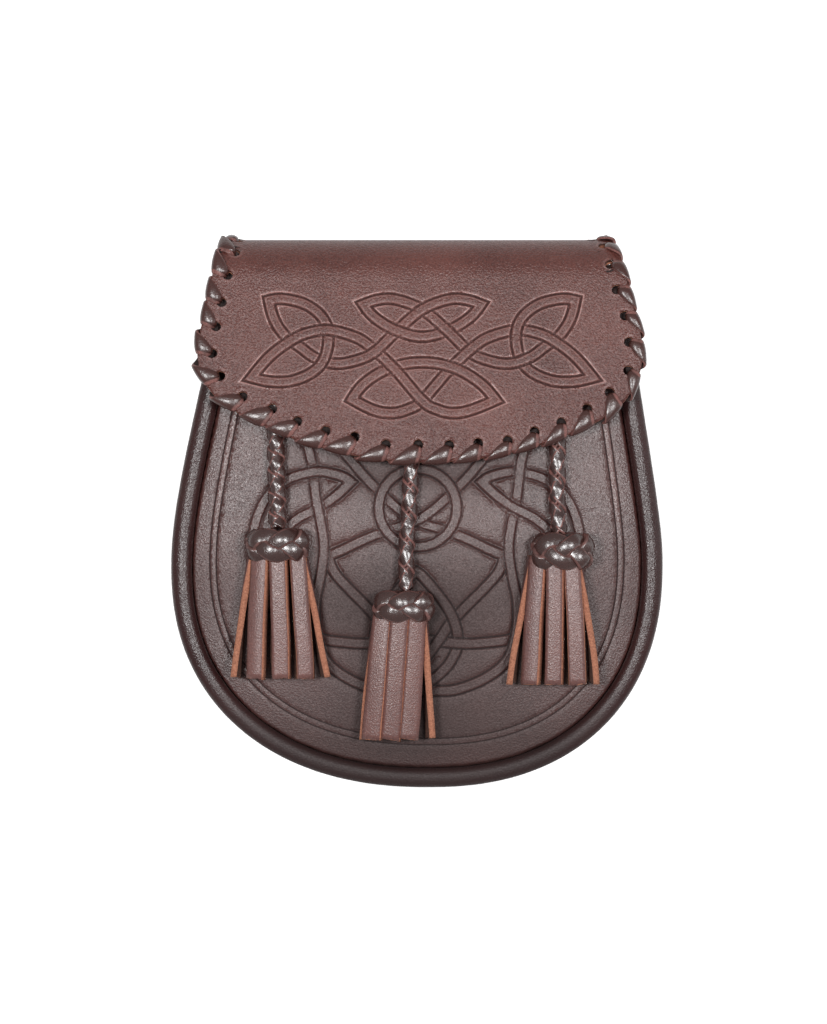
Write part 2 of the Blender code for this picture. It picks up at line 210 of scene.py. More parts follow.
def ringFaces(count, corners, closed=False):
    # the walls between rings, and a cap on each end of an open one
    faces = []
    for i in range(count if closed else count - 1):
        this, after = i * corners, (i + 1) % count * corners
        for j in range(corners):
            k = (j + 1) % corners
            faces.append((this + j, this + k, after + k, after + j))
    if not closed:
        faces.append(tuple(range(corners - 1, -1, -1)))
        last = (count - 1) * corners
        faces.append(tuple(range(last, last + corners)))
    return faces


def joined(parts):
    # several (points, faces, values) as one; the values belong to points or to faces
    points, faces, values = zip(*parts)
    starts = np.cumsum([0] + [len(each) for each in points])
    shifted = [[start + j for j in face] for start, these in zip(starts, faces) for face in these]
    return np.concatenate(points), shifted, np.concatenate(values)


def boxOf(nodeName):
    # the middle and half the size of one of the model's nodes
    low, high = (np.array(corner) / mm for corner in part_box(nodeName))
    return (low + high) / 2, (high - low) / 2


def turnOutwards(piece):
    # turns a closed mesh the right way round if its volume comes out negative
    mesh = piece.data
    mesh.calc_loop_triangles()
    corners = np.empty(len(mesh.loop_triangles) * 3, np.int32)
    mesh.loop_triangles.foreach_get("vertices", corners)
    points = np.empty(len(mesh.vertices) * 3)
    mesh.vertices.foreach_get("co", points)
    a, b, c = points.reshape(-1, 3)[corners.reshape(-1, 3)].transpose(1, 0, 2)
    if np.einsum("ij,ij->i", a, np.cross(b, c)).sum() < 0:
        mesh.flip_normals()


def finishPiece(piece, slotName, *nodes):
    turnOutwards(piece)
    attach(piece, "root")
    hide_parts(*nodes)


# materials on Object coordinates. A piece's shading attribute paints shade into its leather above 0,
# making it darker and duller, and below 0 makes it lighter, partly as wear and partly as a painted highlight;
# its raw attribute shows a cut edge

def newMaterial(name):
    material = bpy.data.materials.new(name)
    material.use_nodes = True
    tree = material.node_tree
    return material, tree, tree.nodes["Principled BSDF"], addNode(tree, "ShaderNodeTexCoord").outputs["Object"]


def mixNode(tree, factor, a, b, kind="RGBA"):
    return addNode(tree, "ShaderNodeMix", {"Factor": factor, "A": a, "B": b}, data_type=kind).outputs["Result"]


def bumpNode(tree, height, depth, normal=None, invert=False):
    # depth is in millimetres
    inputs = {"Strength": 1, "Distance": depth * mm, "Height": height}
    if normal is not None:
        inputs["Normal"] = normal
    return addNode(tree, "ShaderNodeBump", inputs, invert=invert).outputs[0]


# what all the leathers share
wear = {
    # noise scales, where more is finer
    "speckle": 1500, "stain": 32, "crease": 240, "fibre": 2600, "fibrePatch": 420,
    # shares, and what is added to or taken from the roughness
    "stainShare": 0.4, "speckleDepth": 0.8, "duller": 0.09, "shinier": 0.07, "coatRough": 0.26,
    # how dark painted shade makes the leather and how much duller, and the lighter colour of the shoulders, partly
    # wear and partly a painted highlight
    "paintedShadeDark": 0.45, "paintedShadePower": 1.7, "shadingRough": 0.42, "rawRough": 0.85,
    "wornHighlight": (0.440, 0.260, 0.240), "rawDark": (0.085, 0.028, 0.024), "rawLight": (0.260, 0.110, 0.095),
}


def leather(name, dark, light, roughness, grain=0.9, grainDepth=0.05, crease=0.05, coat=0.0, gloss=0.5,
            fadingCoat=False):
    material, tree, shader, place = newMaterial(name)

    def noise(scale, detail, low, high):
        made = addNode(tree, "ShaderNodeTexNoise", {"Vector": place, "Scale": scale, "Detail": detail})
        spread = {"Value": made.outputs["Fac"], "From Min": 0.3, "From Max": 0.7, "To Min": low, "To Max": high}
        return addNode(tree, "ShaderNodeMapRange", spread).outputs[0]

    speck = noise(wear["speckle"], 2, 0, 1)
    tone = mathNode(
        tree, "MULTIPLY_ADD", speck, 1 - wear["stainShare"], noise(wear["stain"], 4, 0, wear["stainShare"]))
    colour = mixNode(tree, tone, (*dark, 1), (*light, 1))
    paintedShadeAndWear = addNode(tree, "ShaderNodeAttribute", attribute_name="paintedShadeAndWear").outputs["Fac"]
    # painted shade: mixes towards a darker copy of the leather where the shading attribute is above 0
    deep = mathNode(tree, "POWER", paintedShadeAndWear, wear["paintedShadePower"], use_clamp=True)
    colour = mixNode(tree, deep, colour, (*[c * wear["paintedShadeDark"] for c in dark], 1))
    # below 0 the leather is mixed towards a lighter colour, partly wear and partly a painted highlight
    colour = mixNode(tree, mathNode(tree, "MULTIPLY", paintedShadeAndWear, -1.0), colour, (*wear["wornHighlight"], 1))
    spread = {"Value": speck, "To Min": roughness + wear["duller"], "To Max": roughness - wear["shinier"]}
    rough = addNode(tree, "ShaderNodeMapRange", spread).outputs[0]
    rough = mathNode(tree, "MULTIPLY_ADD", paintedShadeAndWear, wear["shadingRough"], rough)
    raw = addNode(tree, "ShaderNodeAttribute", attribute_name="raw").outputs["Fac"]
    shown = mathNode(tree, "MULTIPLY", raw, noise(wear["fibrePatch"], 2, 0.25, 1.3))
    fibres = mixNode(tree, noise(wear["fibre"], 3, 0, 1), (*wear["rawDark"], 1), (*wear["rawLight"], 1))
    tree.links.new(mixNode(tree, shown, colour, fibres), shader.inputs["Base Color"])
    tree.links.new(mixNode(tree, shown, rough, wear["rawRough"], "FLOAT"), shader.inputs["Roughness"])
    shader.inputs["Specular IOR Level"].default_value = gloss
    shader.inputs["Coat Weight"].default_value = coat
    shader.inputs["Coat Roughness"].default_value = wear["coatRough"]
    if fadingCoat:
        clear = mathNode(tree, "MULTIPLY_ADD", paintedShadeAndWear, -coat, coat)
        tree.links.new(clear, shader.inputs["Coat Weight"])
    cells = addNode(tree, "ShaderNodeTexVoronoi", {"Vector": place, "Scale": 1000 / grain}, feature="F1")
    pebbles = bumpNode(tree, cells.outputs["Distance"], grainDepth, invert=True)
    fine = bumpNode(tree, speck, grainDepth * wear["speckleDepth"], pebbles)
    folds = bumpNode(tree, noise(wear["crease"], 4, 0.3, 0.7), crease, fine)
    tree.links.new(folds, shader.inputs["Normal"])
    return material


def plainFinish(name, low, high, roughness, scale, depth, metallic=0.0):
    # two tones of noise over a fine rough surface
    material, tree, shader, place = newMaterial(name)
    noise = addNode(tree, "ShaderNodeTexNoise", {"Vector": place, "Scale": scale, "Detail": 4, "Roughness": 0.7})
    tone = addNode(tree, "ShaderNodeMapRange", {"Value": noise.outputs["Fac"], "From Min": 0.3, "From Max": 0.7})
    tree.links.new(mixNode(tree, tone.outputs[0], (*low, 1), (*high, 1)), shader.inputs["Base Color"])
    tree.links.new(bumpNode(tree, noise.outputs["Fac"], depth), shader.inputs["Normal"])
    shader.inputs["Roughness"].default_value = roughness
    shader.inputs["Metallic"].default_value = metallic
    return material


# linear colours of the dark and the light side; the size of the grain's pebbles, their height and the creases' height
# in millimetres
leatherLooks = {
    "panel": {"dark": (0.026, 0.008, 0.007), "light": (0.082, 0.029, 0.025), "roughness": 0.34, "grain": 0.65,
              "grainDepth": 0.075, "gloss": 0.58},
    "flap": {"dark": (0.044, 0.011, 0.009), "light": (0.144, 0.048, 0.038), "roughness": 0.40, "grain": 0.7,
             "grainDepth": 0.16},
    "piping": {"dark": (0.018, 0.006, 0.006), "light": (0.042, 0.016, 0.015), "roughness": 0.29, "grain": 0.6,
               "grainDepth": 0.06, "crease": 0.07, "gloss": 0.40},
    "gusset": {"dark": (0.050, 0.026, 0.024), "light": (0.078, 0.042, 0.038), "roughness": 0.50, "crease": 0.12},
    "back": {"dark": (0.070, 0.036, 0.032), "light": (0.105, 0.056, 0.050), "roughness": 0.55, "grain": 1.0,
             "grainDepth": 0.07},
    "lace": {"dark": (0.032, 0.010, 0.008), "light": (0.066, 0.025, 0.021), "roughness": 0.30, "grain": 0.8,
             "crease": 0.12, "coat": 0.4, "fadingCoat": True},
    "cord": {"dark": (0.024, 0.009, 0.008), "light": (0.050, 0.021, 0.018), "roughness": 0.28, "grain": 0.7,
             "crease": 0.25, "coat": 0.9},
    "fringe": {"dark": (0.062, 0.024, 0.022), "light": (0.160, 0.072, 0.062), "roughness": 0.36, "grain": 0.5,
               "grainDepth": 0.055, "gloss": 0.62},
}
leathers = {name: leather(name + "Leather", **look) for name, look in leatherLooks.items()}

# two tones, the noise's scale and its height in millimetres
plainLooks = {
    "cutSuede": {"low": (0.17, 0.060, 0.034), "high": (0.42, 0.175, 0.105), "roughness": 0.9, "scale": 1500,
                 "depth": 0.15},
    "fleshSide": {"low": (0.060, 0.026, 0.018), "high": (0.130, 0.060, 0.042), "roughness": 0.9, "scale": 900,
                  "depth": 0.12},
    "waxedThread": {"low": (0.030, 0.016, 0.014), "high": (0.075, 0.042, 0.036), "roughness": 0.5, "scale": 2500,
                    "depth": 0.05},
    "agedBrass": {"low": (0.30, 0.22, 0.10), "high": (0.46, 0.36, 0.18), "roughness": 0.32, "scale": 600,
                  "depth": 0.01, "metallic": 1.0},
    "studioFloor": {"low": (0.80, 0.80, 0.80), "high": (0.84, 0.84, 0.84), "roughness": 0.9, "scale": 3, "depth": 0},
}
plains = {name: plainFinish(name, **look) for name, look in plainLooks.items()}

# the floor glows a little, only to the camera, so that it stays white in the picture
floorLook = {"half": 3.0, "glow": 0.5}
floorTree = plains["studioFloor"].node_tree
floorShader = floorTree.nodes["Principled BSDF"]
floorShader.inputs["Emission Color"].default_value = (1, 1, 1, 1)
seen = addNode(floorTree, "ShaderNodeLightPath").outputs["Is Camera Ray"]
floorTree.links.new(mathNode(floorTree, "MULTIPLY", seen, floorLook["glow"]), floorShader.inputs["Emission Strength"])

floor = bpy.data.objects.new("floor", bpy.data.meshes.new("floor"))
edge = floorLook["half"]
floor.data.from_pydata([(-edge, -edge, 0), (edge, -edge, 0), (edge, edge, 0), (-edge, edge, 0)], [], [(0, 1, 2, 3)])
floor.data.materials.append(plains["studioFloor"])
scene.collection.objects.link(floor)
print("materials and floor ready")


# the body's own shape, as the model has it

pouch = {
    "halfWidth": {-1: 90.1, 1: 89.4}, "bellyY": {-1: -19.5, 1: -18.5}, "sideSlope": {-1: 0.244, 1: 0.165},
    "sideBend": {-1: 26.8, 1: 15.1}, "power": {-1: 2.25, 1: 2.28}, "bottomX": 3.9, "bottomY": -100.5, "topY": 84,
    "domeEdgeZ": 34, "domeRise": 5, "domeY": -8, "domeHalfWidth": 84, "domeHalfLength": 90,
    # the panel sinks below the dome from fallFrom down, at a slope of fall once it is past the bend
    "fall": 0.034, "fallFrom": 5, "fallBend": 30,
    # an inset changes from lowFrom down to lowTo
    "lowFrom": 30, "lowTo": -100,
    "backTilt": 0.059, "backInset": 2, "backThickness": 2.5, "backTop": 78,
}


def halfBody(side, topY):
    # one side, from its top down to the lowest point of the belly
    belly, bend = pouch["bellyY"][side], pouch["sideBend"][side]
    y = np.linspace(topY, belly, 60, endpoint=False)
    x = side * (pouch["halfWidth"][side] - pouch["sideSlope"][side] * (np.hypot(y - belly, bend) - bend))
    angle = np.linspace(0, math.pi / 2, 300)
    power = 2 / pouch["power"][side]
    reach = side * pouch["halfWidth"][side] - pouch["bottomX"]
    bellyX = pouch["bottomX"] + reach * np.abs(np.cos(angle)) ** power
    bellyY = belly - (belly - pouch["bottomY"]) * np.sin(angle) ** power
    bellyX[-1] = pouch["bottomX"]
    return np.column_stack([np.append(x, bellyX), np.append(y, bellyY)])


def bodyOutline(inset, topY, spacing, insetLow=0):
    # the edge from the top left, round the belly, to the top right, moved inwards, and by insetLow more at the bottom
    edge = evenly(np.concatenate([halfBody(-1, topY), halfBody(1, topY)[-2::-1]]), spacing)
    low = np.clip((pouch["lowFrom"] - edge[:, 1]) / (pouch["lowFrom"] - pouch["lowTo"]), 0, 1)
    inset = np.reshape(inset + insetLow * low, (-1, 1))
    return edge + leftOf(headings(edge)) * inset


def panelHeight(x, y):
    across = 1 - (x / pouch["domeHalfWidth"]) ** 2
    along = 1 - ((y - pouch["domeY"]) / pouch["domeHalfLength"]) ** 2
    return pouch["domeEdgeZ"] + pouch["domeRise"] * np.maximum(across * along, 0)


def panelFall(y):
    # how far the panel sinks below the dome towards its bottom
    below, bend = np.maximum(pouch["fallFrom"] - y, 0), pouch["fallBend"]
    return pouch["fall"] * np.where(below < bend, below**2 / (2 * bend), below - bend / 2)


def backHeight(y):
    return pouch["backTilt"] * (y - pouch["bottomY"] - pouch["backInset"])


# tassels: the cords come first. A route is a cord's centre line, from its tab to its knot

tassels = {
    "left": {
        "route": [(-51.9, 40, 39.8), (-51.6, 28, 40.2), (-51.4, 16, 40.6), (-51.1, 5, 41.2), (-50.9, -5.5, 42.4)],
        "diameter": 6.4, "lay": 15.5, "turn": 0.3,
        "fringeTop": (-51.0, -18.6, 20.4), "fringeEnd": (-49.9, -60.4, 34.9),
        "stripTops": (-57.2, -51.0, -43.9), "stripEnds": (-59.1, -49.6, -41.0),
        "stripWidth": (5.8, 5.9), "bevel": 0.9, "lean": 0.12, "seed": 11,
    },
    "middle": {
        "route": [(-1.8, 32, 41.3), (-2.4, 17, 41.9), (-3.1, 3, 42.3), (-4.0, -12, 42.6), (-4.3, -28.1, 43.8)],
        "diameter": 5.8, "lay": 20.0, "turn": 0.9,
        "fringeTop": (-6.2, -40.4, 18.9), "fringeEnd": (-7.5, -82.6, 26.6),
        "stripTops": (-12.6, -6.4, -0.1), "stripEnds": (-16.7, -10.1, -3.3),
        "stripWidth": (6.4, 6.9), "bevel": 0.5, "lean": 0.0, "seed": 23,
    },
    "right": {
        "route": [(51.0, 39, 39.7), (50.8, 27, 40.0), (50.6, 15, 40.4), (50.6, 4, 41.0), (51.2, -7.0, 42.4)],
        "diameter": 6.0, "lay": 21.0, "turn": 0.1,
        "fringeTop": (49.5, -21.5, 19.3), "fringeEnd": (49.0, -62.6, 32.8),
        "stripTops": (43.3, 49.5, 55.6), "stripEnds": (40.5, 49.2, 57.8),
        "stripWidth": (5.8, 6.0), "bevel": 0.9, "lean": 0.1, "seed": 37,
    },
}
thong = {
    "width": 0.86, "thickness": 1.8, "linger": 0.30, "overUnder": 0.45, "loose": 1.1, "step": 0.45,
    "widthUneven": 0.07, "thicknessUneven": 0.10,
}
knot = {
    "strands": 3, "waves": 2, "strandWidth": 5.6, "strandThickness": 2.6, "overUnder": 0.95, "raw": 0.55,
    "roundness": 1.25, "roll": 0.8, "steps": 150, "widthUneven": 0.05, "thicknessUneven": 0.08,
    "coreGap": 0.4, "coreLength": 0.78, "coreTip": 0.02, "coreRings": 12, "coreCorners": 32,
}
strip = {
    "thickness": 2.3, "gap": 0.3, "depthTop": 10, "depthEnd": 8, "overlap": 5.5, "rings": 26, "columns": 6,
    # pulled back towards the middle of the fringe's thickness, at its top and at its end, more so farther out
    "riseIn": (0.4, 0.5), "riseBend": (0.2, 0.05), "spread": 0.04, "leanUneven": 0.06,
    # how much of the panel's fall the ends follow: the front, side and back strips
    "sink": {1: 0.2, 0: 0.7, -1: 1.0},
    "sideInset": 1.4, "sideWidths": (5.4, 6.4), "sideTurn": (0.2, -0.28),
    # ranges of what differs between strips
    "bow": (0.2, 0.9), "cup": (0.105, 0.42), "sway": 0.25, "slant": 0.7, "ragged": 0.3,
}

# a cut thong: (across, up) for half a unit each way, and whether that point is raw edge
thongSection = np.array([
    (-0.5, -0.1), (-0.5, 0.15), (-0.42, 0.36), (-0.37, 0.40), (-0.18, 0.50), (0, 0.53), (0.18, 0.50),
    (0.37, 0.40), (0.42, 0.36), (0.5, 0.15), (0.5, -0.1), (0.38, -0.42), (0, -0.5), (-0.38, -0.42),
])
thongRaw = np.array([1, 1, 1, 0, 0, 0, 0, 0, 1, 1, 1, 0, 0, 0])
thongTop = thongSection[:, 1].max()


def thongPart(path, out, width, thickness, raw=1, closed=False):
    # one thong along a path, as its points, faces and raw edges
    rings = sweepRings(path, out, thongSection, width, thickness, closed)
    return rings.reshape(-1, 3), ringFaces(len(path), len(thongSection), closed), np.tile(thongRaw * raw, len(path))


def plaitedCord(side):
    # four thongs in a round plait, two turning each way, each over one and under the next
    spec = tassels[side]
    rng = np.random.default_rng(spec["seed"])
    route = evenly(smoothLine(spec["route"]), thong["step"])
    run = runAlong(route)
    tangents = headings(route)
    sides = unit(np.cross(tangents, [0, 0, 1]))
    ups = np.cross(sides, tangents)
    middle = spec["diameter"] * thong["loose"] / 2 - thong["thickness"] * thongTop - thong["overUnder"]
    around = 2 * math.pi * middle
    fits = thong["width"] * around / 2 * spec["lay"] / math.hypot(spec["lay"], around)
    thongs = []
    for turning in (1, -1):
        for start in (0, math.pi):
            turn = turning * (2 * math.pi * run / spec["lay"] + spec["turn"]) + start
            angle = turn - thong["linger"] * np.sin(2 * turn)
            radius = middle + turning * thong["overUnder"] * np.cos(2 * turn)
            out = sides * np.sin(angle)[:, None] + ups * np.cos(angle)[:, None]
            width = fits * (1 + thong["widthUneven"] * wave(run, 7, rng))
            thickness = thong["thickness"] * (1 + thong["thicknessUneven"] * wave(run, 5, rng))
            thongs.append(thongPart(route + out * radius[:, None], out, width, thickness))
    points, faces, raw = joined(thongs)
    return newPiece("plaitedCord_" + side, points, faces, leathers["cord"], {"raw": raw}), route


def wovenKnot(side):
    # three closed thongs woven round the tassel, over a firm core
    rng = np.random.default_rng(tassels[side]["seed"] + 1)
    centre, half = boxOf("tassel_knot_" + side)
    turn = fullTurn(knot["steps"])
    radiusX, radiusZ = half[[0, 2]] - knot["strandThickness"] * thongTop - knot["overUnder"]
    sway = (2 * half[1] - knot["strandWidth"]) / 2
    parts = []
    for k in range(knot["strands"]):
        phase = knot["waves"] * turn + 2 * math.pi * k / knot["strands"] + tassels[side]["turn"]
        rise = sway * np.sin(phase)
        bulge = np.sqrt(np.clip(1 - (rise / (half[1] * knot["roundness"])) ** 2, 0.1, 1))
        lift = knot["overUnder"] * np.sin(2 * phase)
        lean = rise / half[1] ** 2 * knot["roll"]
        out = unit(np.column_stack([np.sin(turn) / radiusX, lean, np.cos(turn) / radiusZ]))
        ring = np.column_stack([radiusX * np.sin(turn) * bulge, rise, radiusZ * np.cos(turn) * bulge])
        uneven = knot["widthUneven"] * np.sin(3 * turn + rng.uniform(0, 6))
        width = knot["strandWidth"] * (1 + uneven)
        uneven = knot["thicknessUneven"] * np.sin(5 * turn + rng.uniform(0, 6))
        thickness = knot["strandThickness"] * (1 + uneven)
        path = centre + ring + out * lift[:, None]
        parts.append(thongPart(path, out, width, thickness, knot["raw"], closed=True))
    around = fullTurn(knot["coreCorners"])
    core = []
    for tilt in np.linspace(-math.pi / 2, math.pi / 2, knot["coreRings"]):
        shrink = max(math.cos(tilt), knot["coreTip"])
        core.append(centre + np.column_stack([
            (radiusX - knot["coreGap"]) * shrink * np.sin(around),
            np.full(len(around), half[1] * knot["coreLength"] * math.sin(tilt)),
            (radiusZ - knot["coreGap"]) * shrink * np.cos(around),
        ]))
    core = np.concatenate(core)
    parts.append((core, ringFaces(knot["coreRings"], len(around)), np.zeros(len(core))))
    points, faces, raw = joined(parts)
    return newPiece("wovenKnot_" + side, points, faces, leathers["cord"], {"raw": raw})


def fringeStrip(top, end, outTop, outEnd, rng, widths, bevel):
    # one cut strip: its points, its faces, and which are grain (0), cut edge (1) or flesh side (2)
    rows, columns = strip["rings"], strip["columns"]
    share = np.linspace(0, 1, rows)
    path = top + (end - top) * share[:, None]
    out = unit(outTop + (outEnd - outTop) * share[:, None])
    bow = np.sin(math.pi * share) * rng.uniform(*strip["bow"])
    path = path + out * bow[:, None]
    path[:, 0] += strip["sway"] * wave(share * 42, 40, rng, 2) * share
    width = (widths[0] + (widths[1] - widths[0]) * share)[:, None]
    across = np.linspace(-0.5, 0.5, columns)
    cup = (1 - (2 * across) ** 2) * rng.uniform(*strip["cup"])
    thick = strip["thickness"]
    along = np.concatenate([across * width, (across * width - bevel * (0.5 - across))[:, ::-1]], axis=1)
    up = np.concatenate([cup, cup[::-1] - thick]) + thick / 2
    tangents = headings(path)
    sides = unit(np.cross(tangents, out))
    rings = path[:, None, :] + sides[:, None, :] * along[:, :, None] + out[:, None, :] * up[None, :, None]
    # the end is cut slanting and a little ragged
    slant = np.concatenate([across, across[::-1]]) * rng.uniform(-strip["slant"], strip["slant"])
    rings[-1] += tangents[-1] * (rng.uniform(-strip["ragged"], strip["ragged"], len(up)) + slant)[:, None]
    sorts = [0] * (columns - 1) + [1] + [2] * (columns - 1) + [1]
    return rings.reshape(-1, 3), ringFaces(rows, len(up)), sorts * (rows - 1) + [1, 1]


def fringe(side):
    # three strips in front, three behind and one on each side
    spec = tassels[side]
    rng = np.random.default_rng(spec["seed"] + 2)
    topX, topY, topWidth = spec["fringeTop"]
    endX, endY, endWidth = spec["fringeEnd"]
    half = strip["thickness"] / 2

    def middleZ(x, y, width, depth):
        return strip["gap"] + panelHeight(x + width * np.linspace(-0.5, 0.5, 5), y).max() + depth / 2

    def riseAt(end, depth, off):
        return depth / 2 - half - strip["riseIn"][end] - strip["riseBend"][end] * abs(off)

    topZ = middleZ(topX, topY, topWidth, strip["depthTop"])
    endZ = middleZ(endX, endY, endWidth, strip["depthEnd"])
    sink = float(panelFall(endY))
    startY = topY + strip["overlap"]
    strips = []
    for front in (1, -1):
        for topAt, endAt in zip(spec["stripTops"], spec["stripEnds"]):
            top = (topAt, startY, topZ + front * riseAt(0, strip["depthTop"], topAt - topX))
            endRise = riseAt(1, strip["depthEnd"], endAt - endX)
            end = (endAt, endY, endZ + front * endRise - sink * strip["sink"][front])
            lean = (topAt - topX) * strip["spread"] - spec["lean"]
            endLean = lean + rng.uniform(-strip["leanUneven"], strip["leanUneven"])
            strips.append((top, end, (lean, 0, front), (endLean, 0, front), spec["stripWidth"], spec["bevel"]))
    for hand in (-1, 1):
        top = (topX + hand * (topWidth / 2 - strip["sideInset"]), startY, topZ - 0.5)
        end = (endX + hand * (endWidth / 2 - half * 1.1), endY + 0.4, endZ - 0.3 - sink * strip["sink"][0])
        turns = [(hand, 0, turn) for turn in strip["sideTurn"]]
        strips.append((top, end, *turns, strip["sideWidths"], 0))
    points, faces, sorts = joined([
        fringeStrip(*map(np.array, ends), rng, widths, bevel) for *ends, widths, bevel in strips])
    return newPiece("fringe_" + side, points, faces, leathers["fringe"],
                    extraMaterials=(plains["cutSuede"], plains["fleshSide"]), faceMaterial=sorts)


# a tab's ends are rounded off: how far along its half length, and how full it is there
tabProfile = [
    (-1, 0.86), (-0.94, 0.95), (-0.8, 1), (-0.4, 0.97), (0, 0.94), (0.4, 0.97), (0.8, 1), (0.94, 0.95), (1, 0.86),
]


def cordTab(side):
    # the sewn tab that a cord comes out of, under the flap
    centre, half = boxOf("tassel_anchor_" + side)
    turn = fullTurn(40)
    across, up = (np.sign(value) * np.abs(value) ** 0.6 for value in (np.cos(turn), np.sin(turn)))
    rings = [centre + np.column_stack([half[0] * full * across, np.full(40, along * half[1]), half[2] * full * up])
             for along, full in tabProfile]
    return newPiece("cordTab_" + side, np.concatenate(rings), ringFaces(len(rings), 40), leathers["back"])


for side, spec in tassels.items():
    cord, route = plaitedCord(side)
    tasselKnot = wovenKnot(side)
    tasselFringe = fringe(side)
    tab = cordTab(side)
    finishPiece(cord, "lace_leather", "tassel_cord_" + side)
    finishPiece(tasselKnot, "lace_leather", "tassel_knot_" + side)
    finishPiece(tasselFringe, "fringe_leather", "tassel_skirt_" + side)
    finishPiece(tab, "back_leather", "tassel_anchor_" + side)
    [c * mm for c in spec["route"][0]]
print("tassels made")


# leather sheets: a flat pattern, cut, tooled and holed, then bent into place

def insideLoop(points, loop):
    # which points lie inside a closed outline
    x, y = points[:, 0], points[:, 1]
    inside = np.zeros(len(points), bool)
    for (x1, y1), (x2, y2) in zip(loop, np.roll(loop, -1, axis=0)):
        if y1 == y2:
            continue
        crosses = (y1 > y) != (y2 > y)
        inside ^= crosses & (x < (x2 - x1) * (y - y1) / (y2 - y1) + x1)
    return inside


def distanceToLine(points, line, far=6):
    # distance to a line whose corners are mitred, and infinity past its two ends or too far away
    found = np.full(len(points), np.inf)
    low, high = line.min(0) - far, line.max(0) + far
    near = np.flatnonzero(((points > low) & (points < high)).all(1))
    starts, steps = line[:-1], np.diff(line, axis=0)
    lengths = np.linalg.norm(steps, axis=1)
    heads = steps / lengths[:, None]
    for chunk in np.array_split(near, len(near) // 20000 + 1):
        offset = points[chunk, None, :] - starts[None]
        run = (offset * heads[None]).sum(2)
        side = np.abs(offset[:, :, 0] * heads[None, :, 1] - offset[:, :, 1] * heads[None, :, 0])
        real = np.hypot(side, run - np.clip(run, 0, lengths))
        best = real.argmin(1)
        row = np.arange(len(chunk))
        past = run[row, best] - lengths[best]
        neighbour = np.where(past > 0, best + 1, np.where(run[row, best] < 0, best - 1, best))
        off = (neighbour < 0) | (neighbour >= len(starts))
        mitred = np.maximum(side[row, best], side[row, np.clip(neighbour, 0, len(starts) - 1)])
        found[chunk] = np.where(off, np.inf, mitred)
    return found


def offsetLine(line, offset):
    # the line moved sideways, with mitred corners
    normals = leftOf(unit(np.diff(line, axis=0)))
    before = np.concatenate([normals[:1], normals])
    after = np.concatenate([normals, normals[-1:]])
    lean = np.maximum(1 + (before * after).sum(1), 0.08)
    return line + offset * (before + after) / lean[:, None]


def triangulate(loops, inner, holeReach=4):
    # triangles over a flat outline, loops[0], without the holes in it, loops[1:]
    points = np.concatenate([*loops, inner])
    edges, start = [], 0
    for loop in loops:
        edges += [(start + i, start + (i + 1) % len(loop)) for i in range(len(loop))]
        start += len(loop)
    out, _, faces = delaunay_2d_cdt([tuple(p) for p in points], edges, [], 0, 1e-7, False)[:3]
    if len(out) != len(points):
        raise ValueError("two points of a leather sheet lie on each other")
    faces = np.array(faces)
    centres = points[faces].mean(1)
    keep = insideLoop(centres, loops[0])
    for loop in loops[1:]:
        close = np.linalg.norm(centres - loop.mean(0), axis=1) < holeReach
        keep[close] &= ~insideLoop(centres[close], loop)
    return faces[keep]


def clearOf(points, taken, cell):
    # the points that have none of the taken points in their grid cell or beside it
    busy = set()
    for dx in (-1, 0, 1):
        for dy in (-1, 0, 1):
            busy |= set(map(tuple, np.floor(taken / cell).astype(int) + [dx, dy]))
    return points[np.array([tuple(each) not in busy for each in np.floor(points / cell).astype(int)], bool)]


def outsideHoles(points, holeLoops):
    for loop in holeLoops:
        reach = np.linalg.norm(loop - loop.mean(0), axis=1).max()
        points = points[np.linalg.norm(points - loop.mean(0), axis=1) > reach]
    return points


def scatter(loops, spacing, margin, taken):
    # an even grid of points inside the outline, clear of its edges and of the points taken
    low, high = loops[0].min(0), loops[0].max(0)
    rows = []
    for i, y in enumerate(np.arange(low[1], high[1], spacing * 0.866)):
        x = np.arange(low[0] + spacing / 2 * (i % 2), high[0], spacing)
        rows.append(np.column_stack([x, np.full(len(x), y)]))
    grid = np.concatenate(rows)
    grid = grid[insideLoop(grid, loops[0])]
    return outsideHoles(clearOf(grid, np.concatenate([*loops, taken]), margin), loops[1:])


def thinned(points, loops, gap=0.13, margin=0.32):
    # leaves out points that lie on top of each other, in a hole, or too near an edge
    _, first = np.unique(np.round(points / gap).astype(int), axis=0, return_index=True)
    points = points[np.sort(first)]
    points = points[insideLoop(points, loops[0])]
    return outsideHoles(clearOf(points, np.concatenate(loops), margin), loops[1:])


def edgeDistance(points, loop):
    closed = evenly(np.concatenate([loop, loop[:1]]), 0.4)
    found = np.empty(len(points))
    for chunk in np.array_split(np.arange(len(points)), len(points) // 4000 + 1):
        found[chunk] = np.linalg.norm(points[chunk, None, :] - closed[None], axis=2).min(1)
    return found


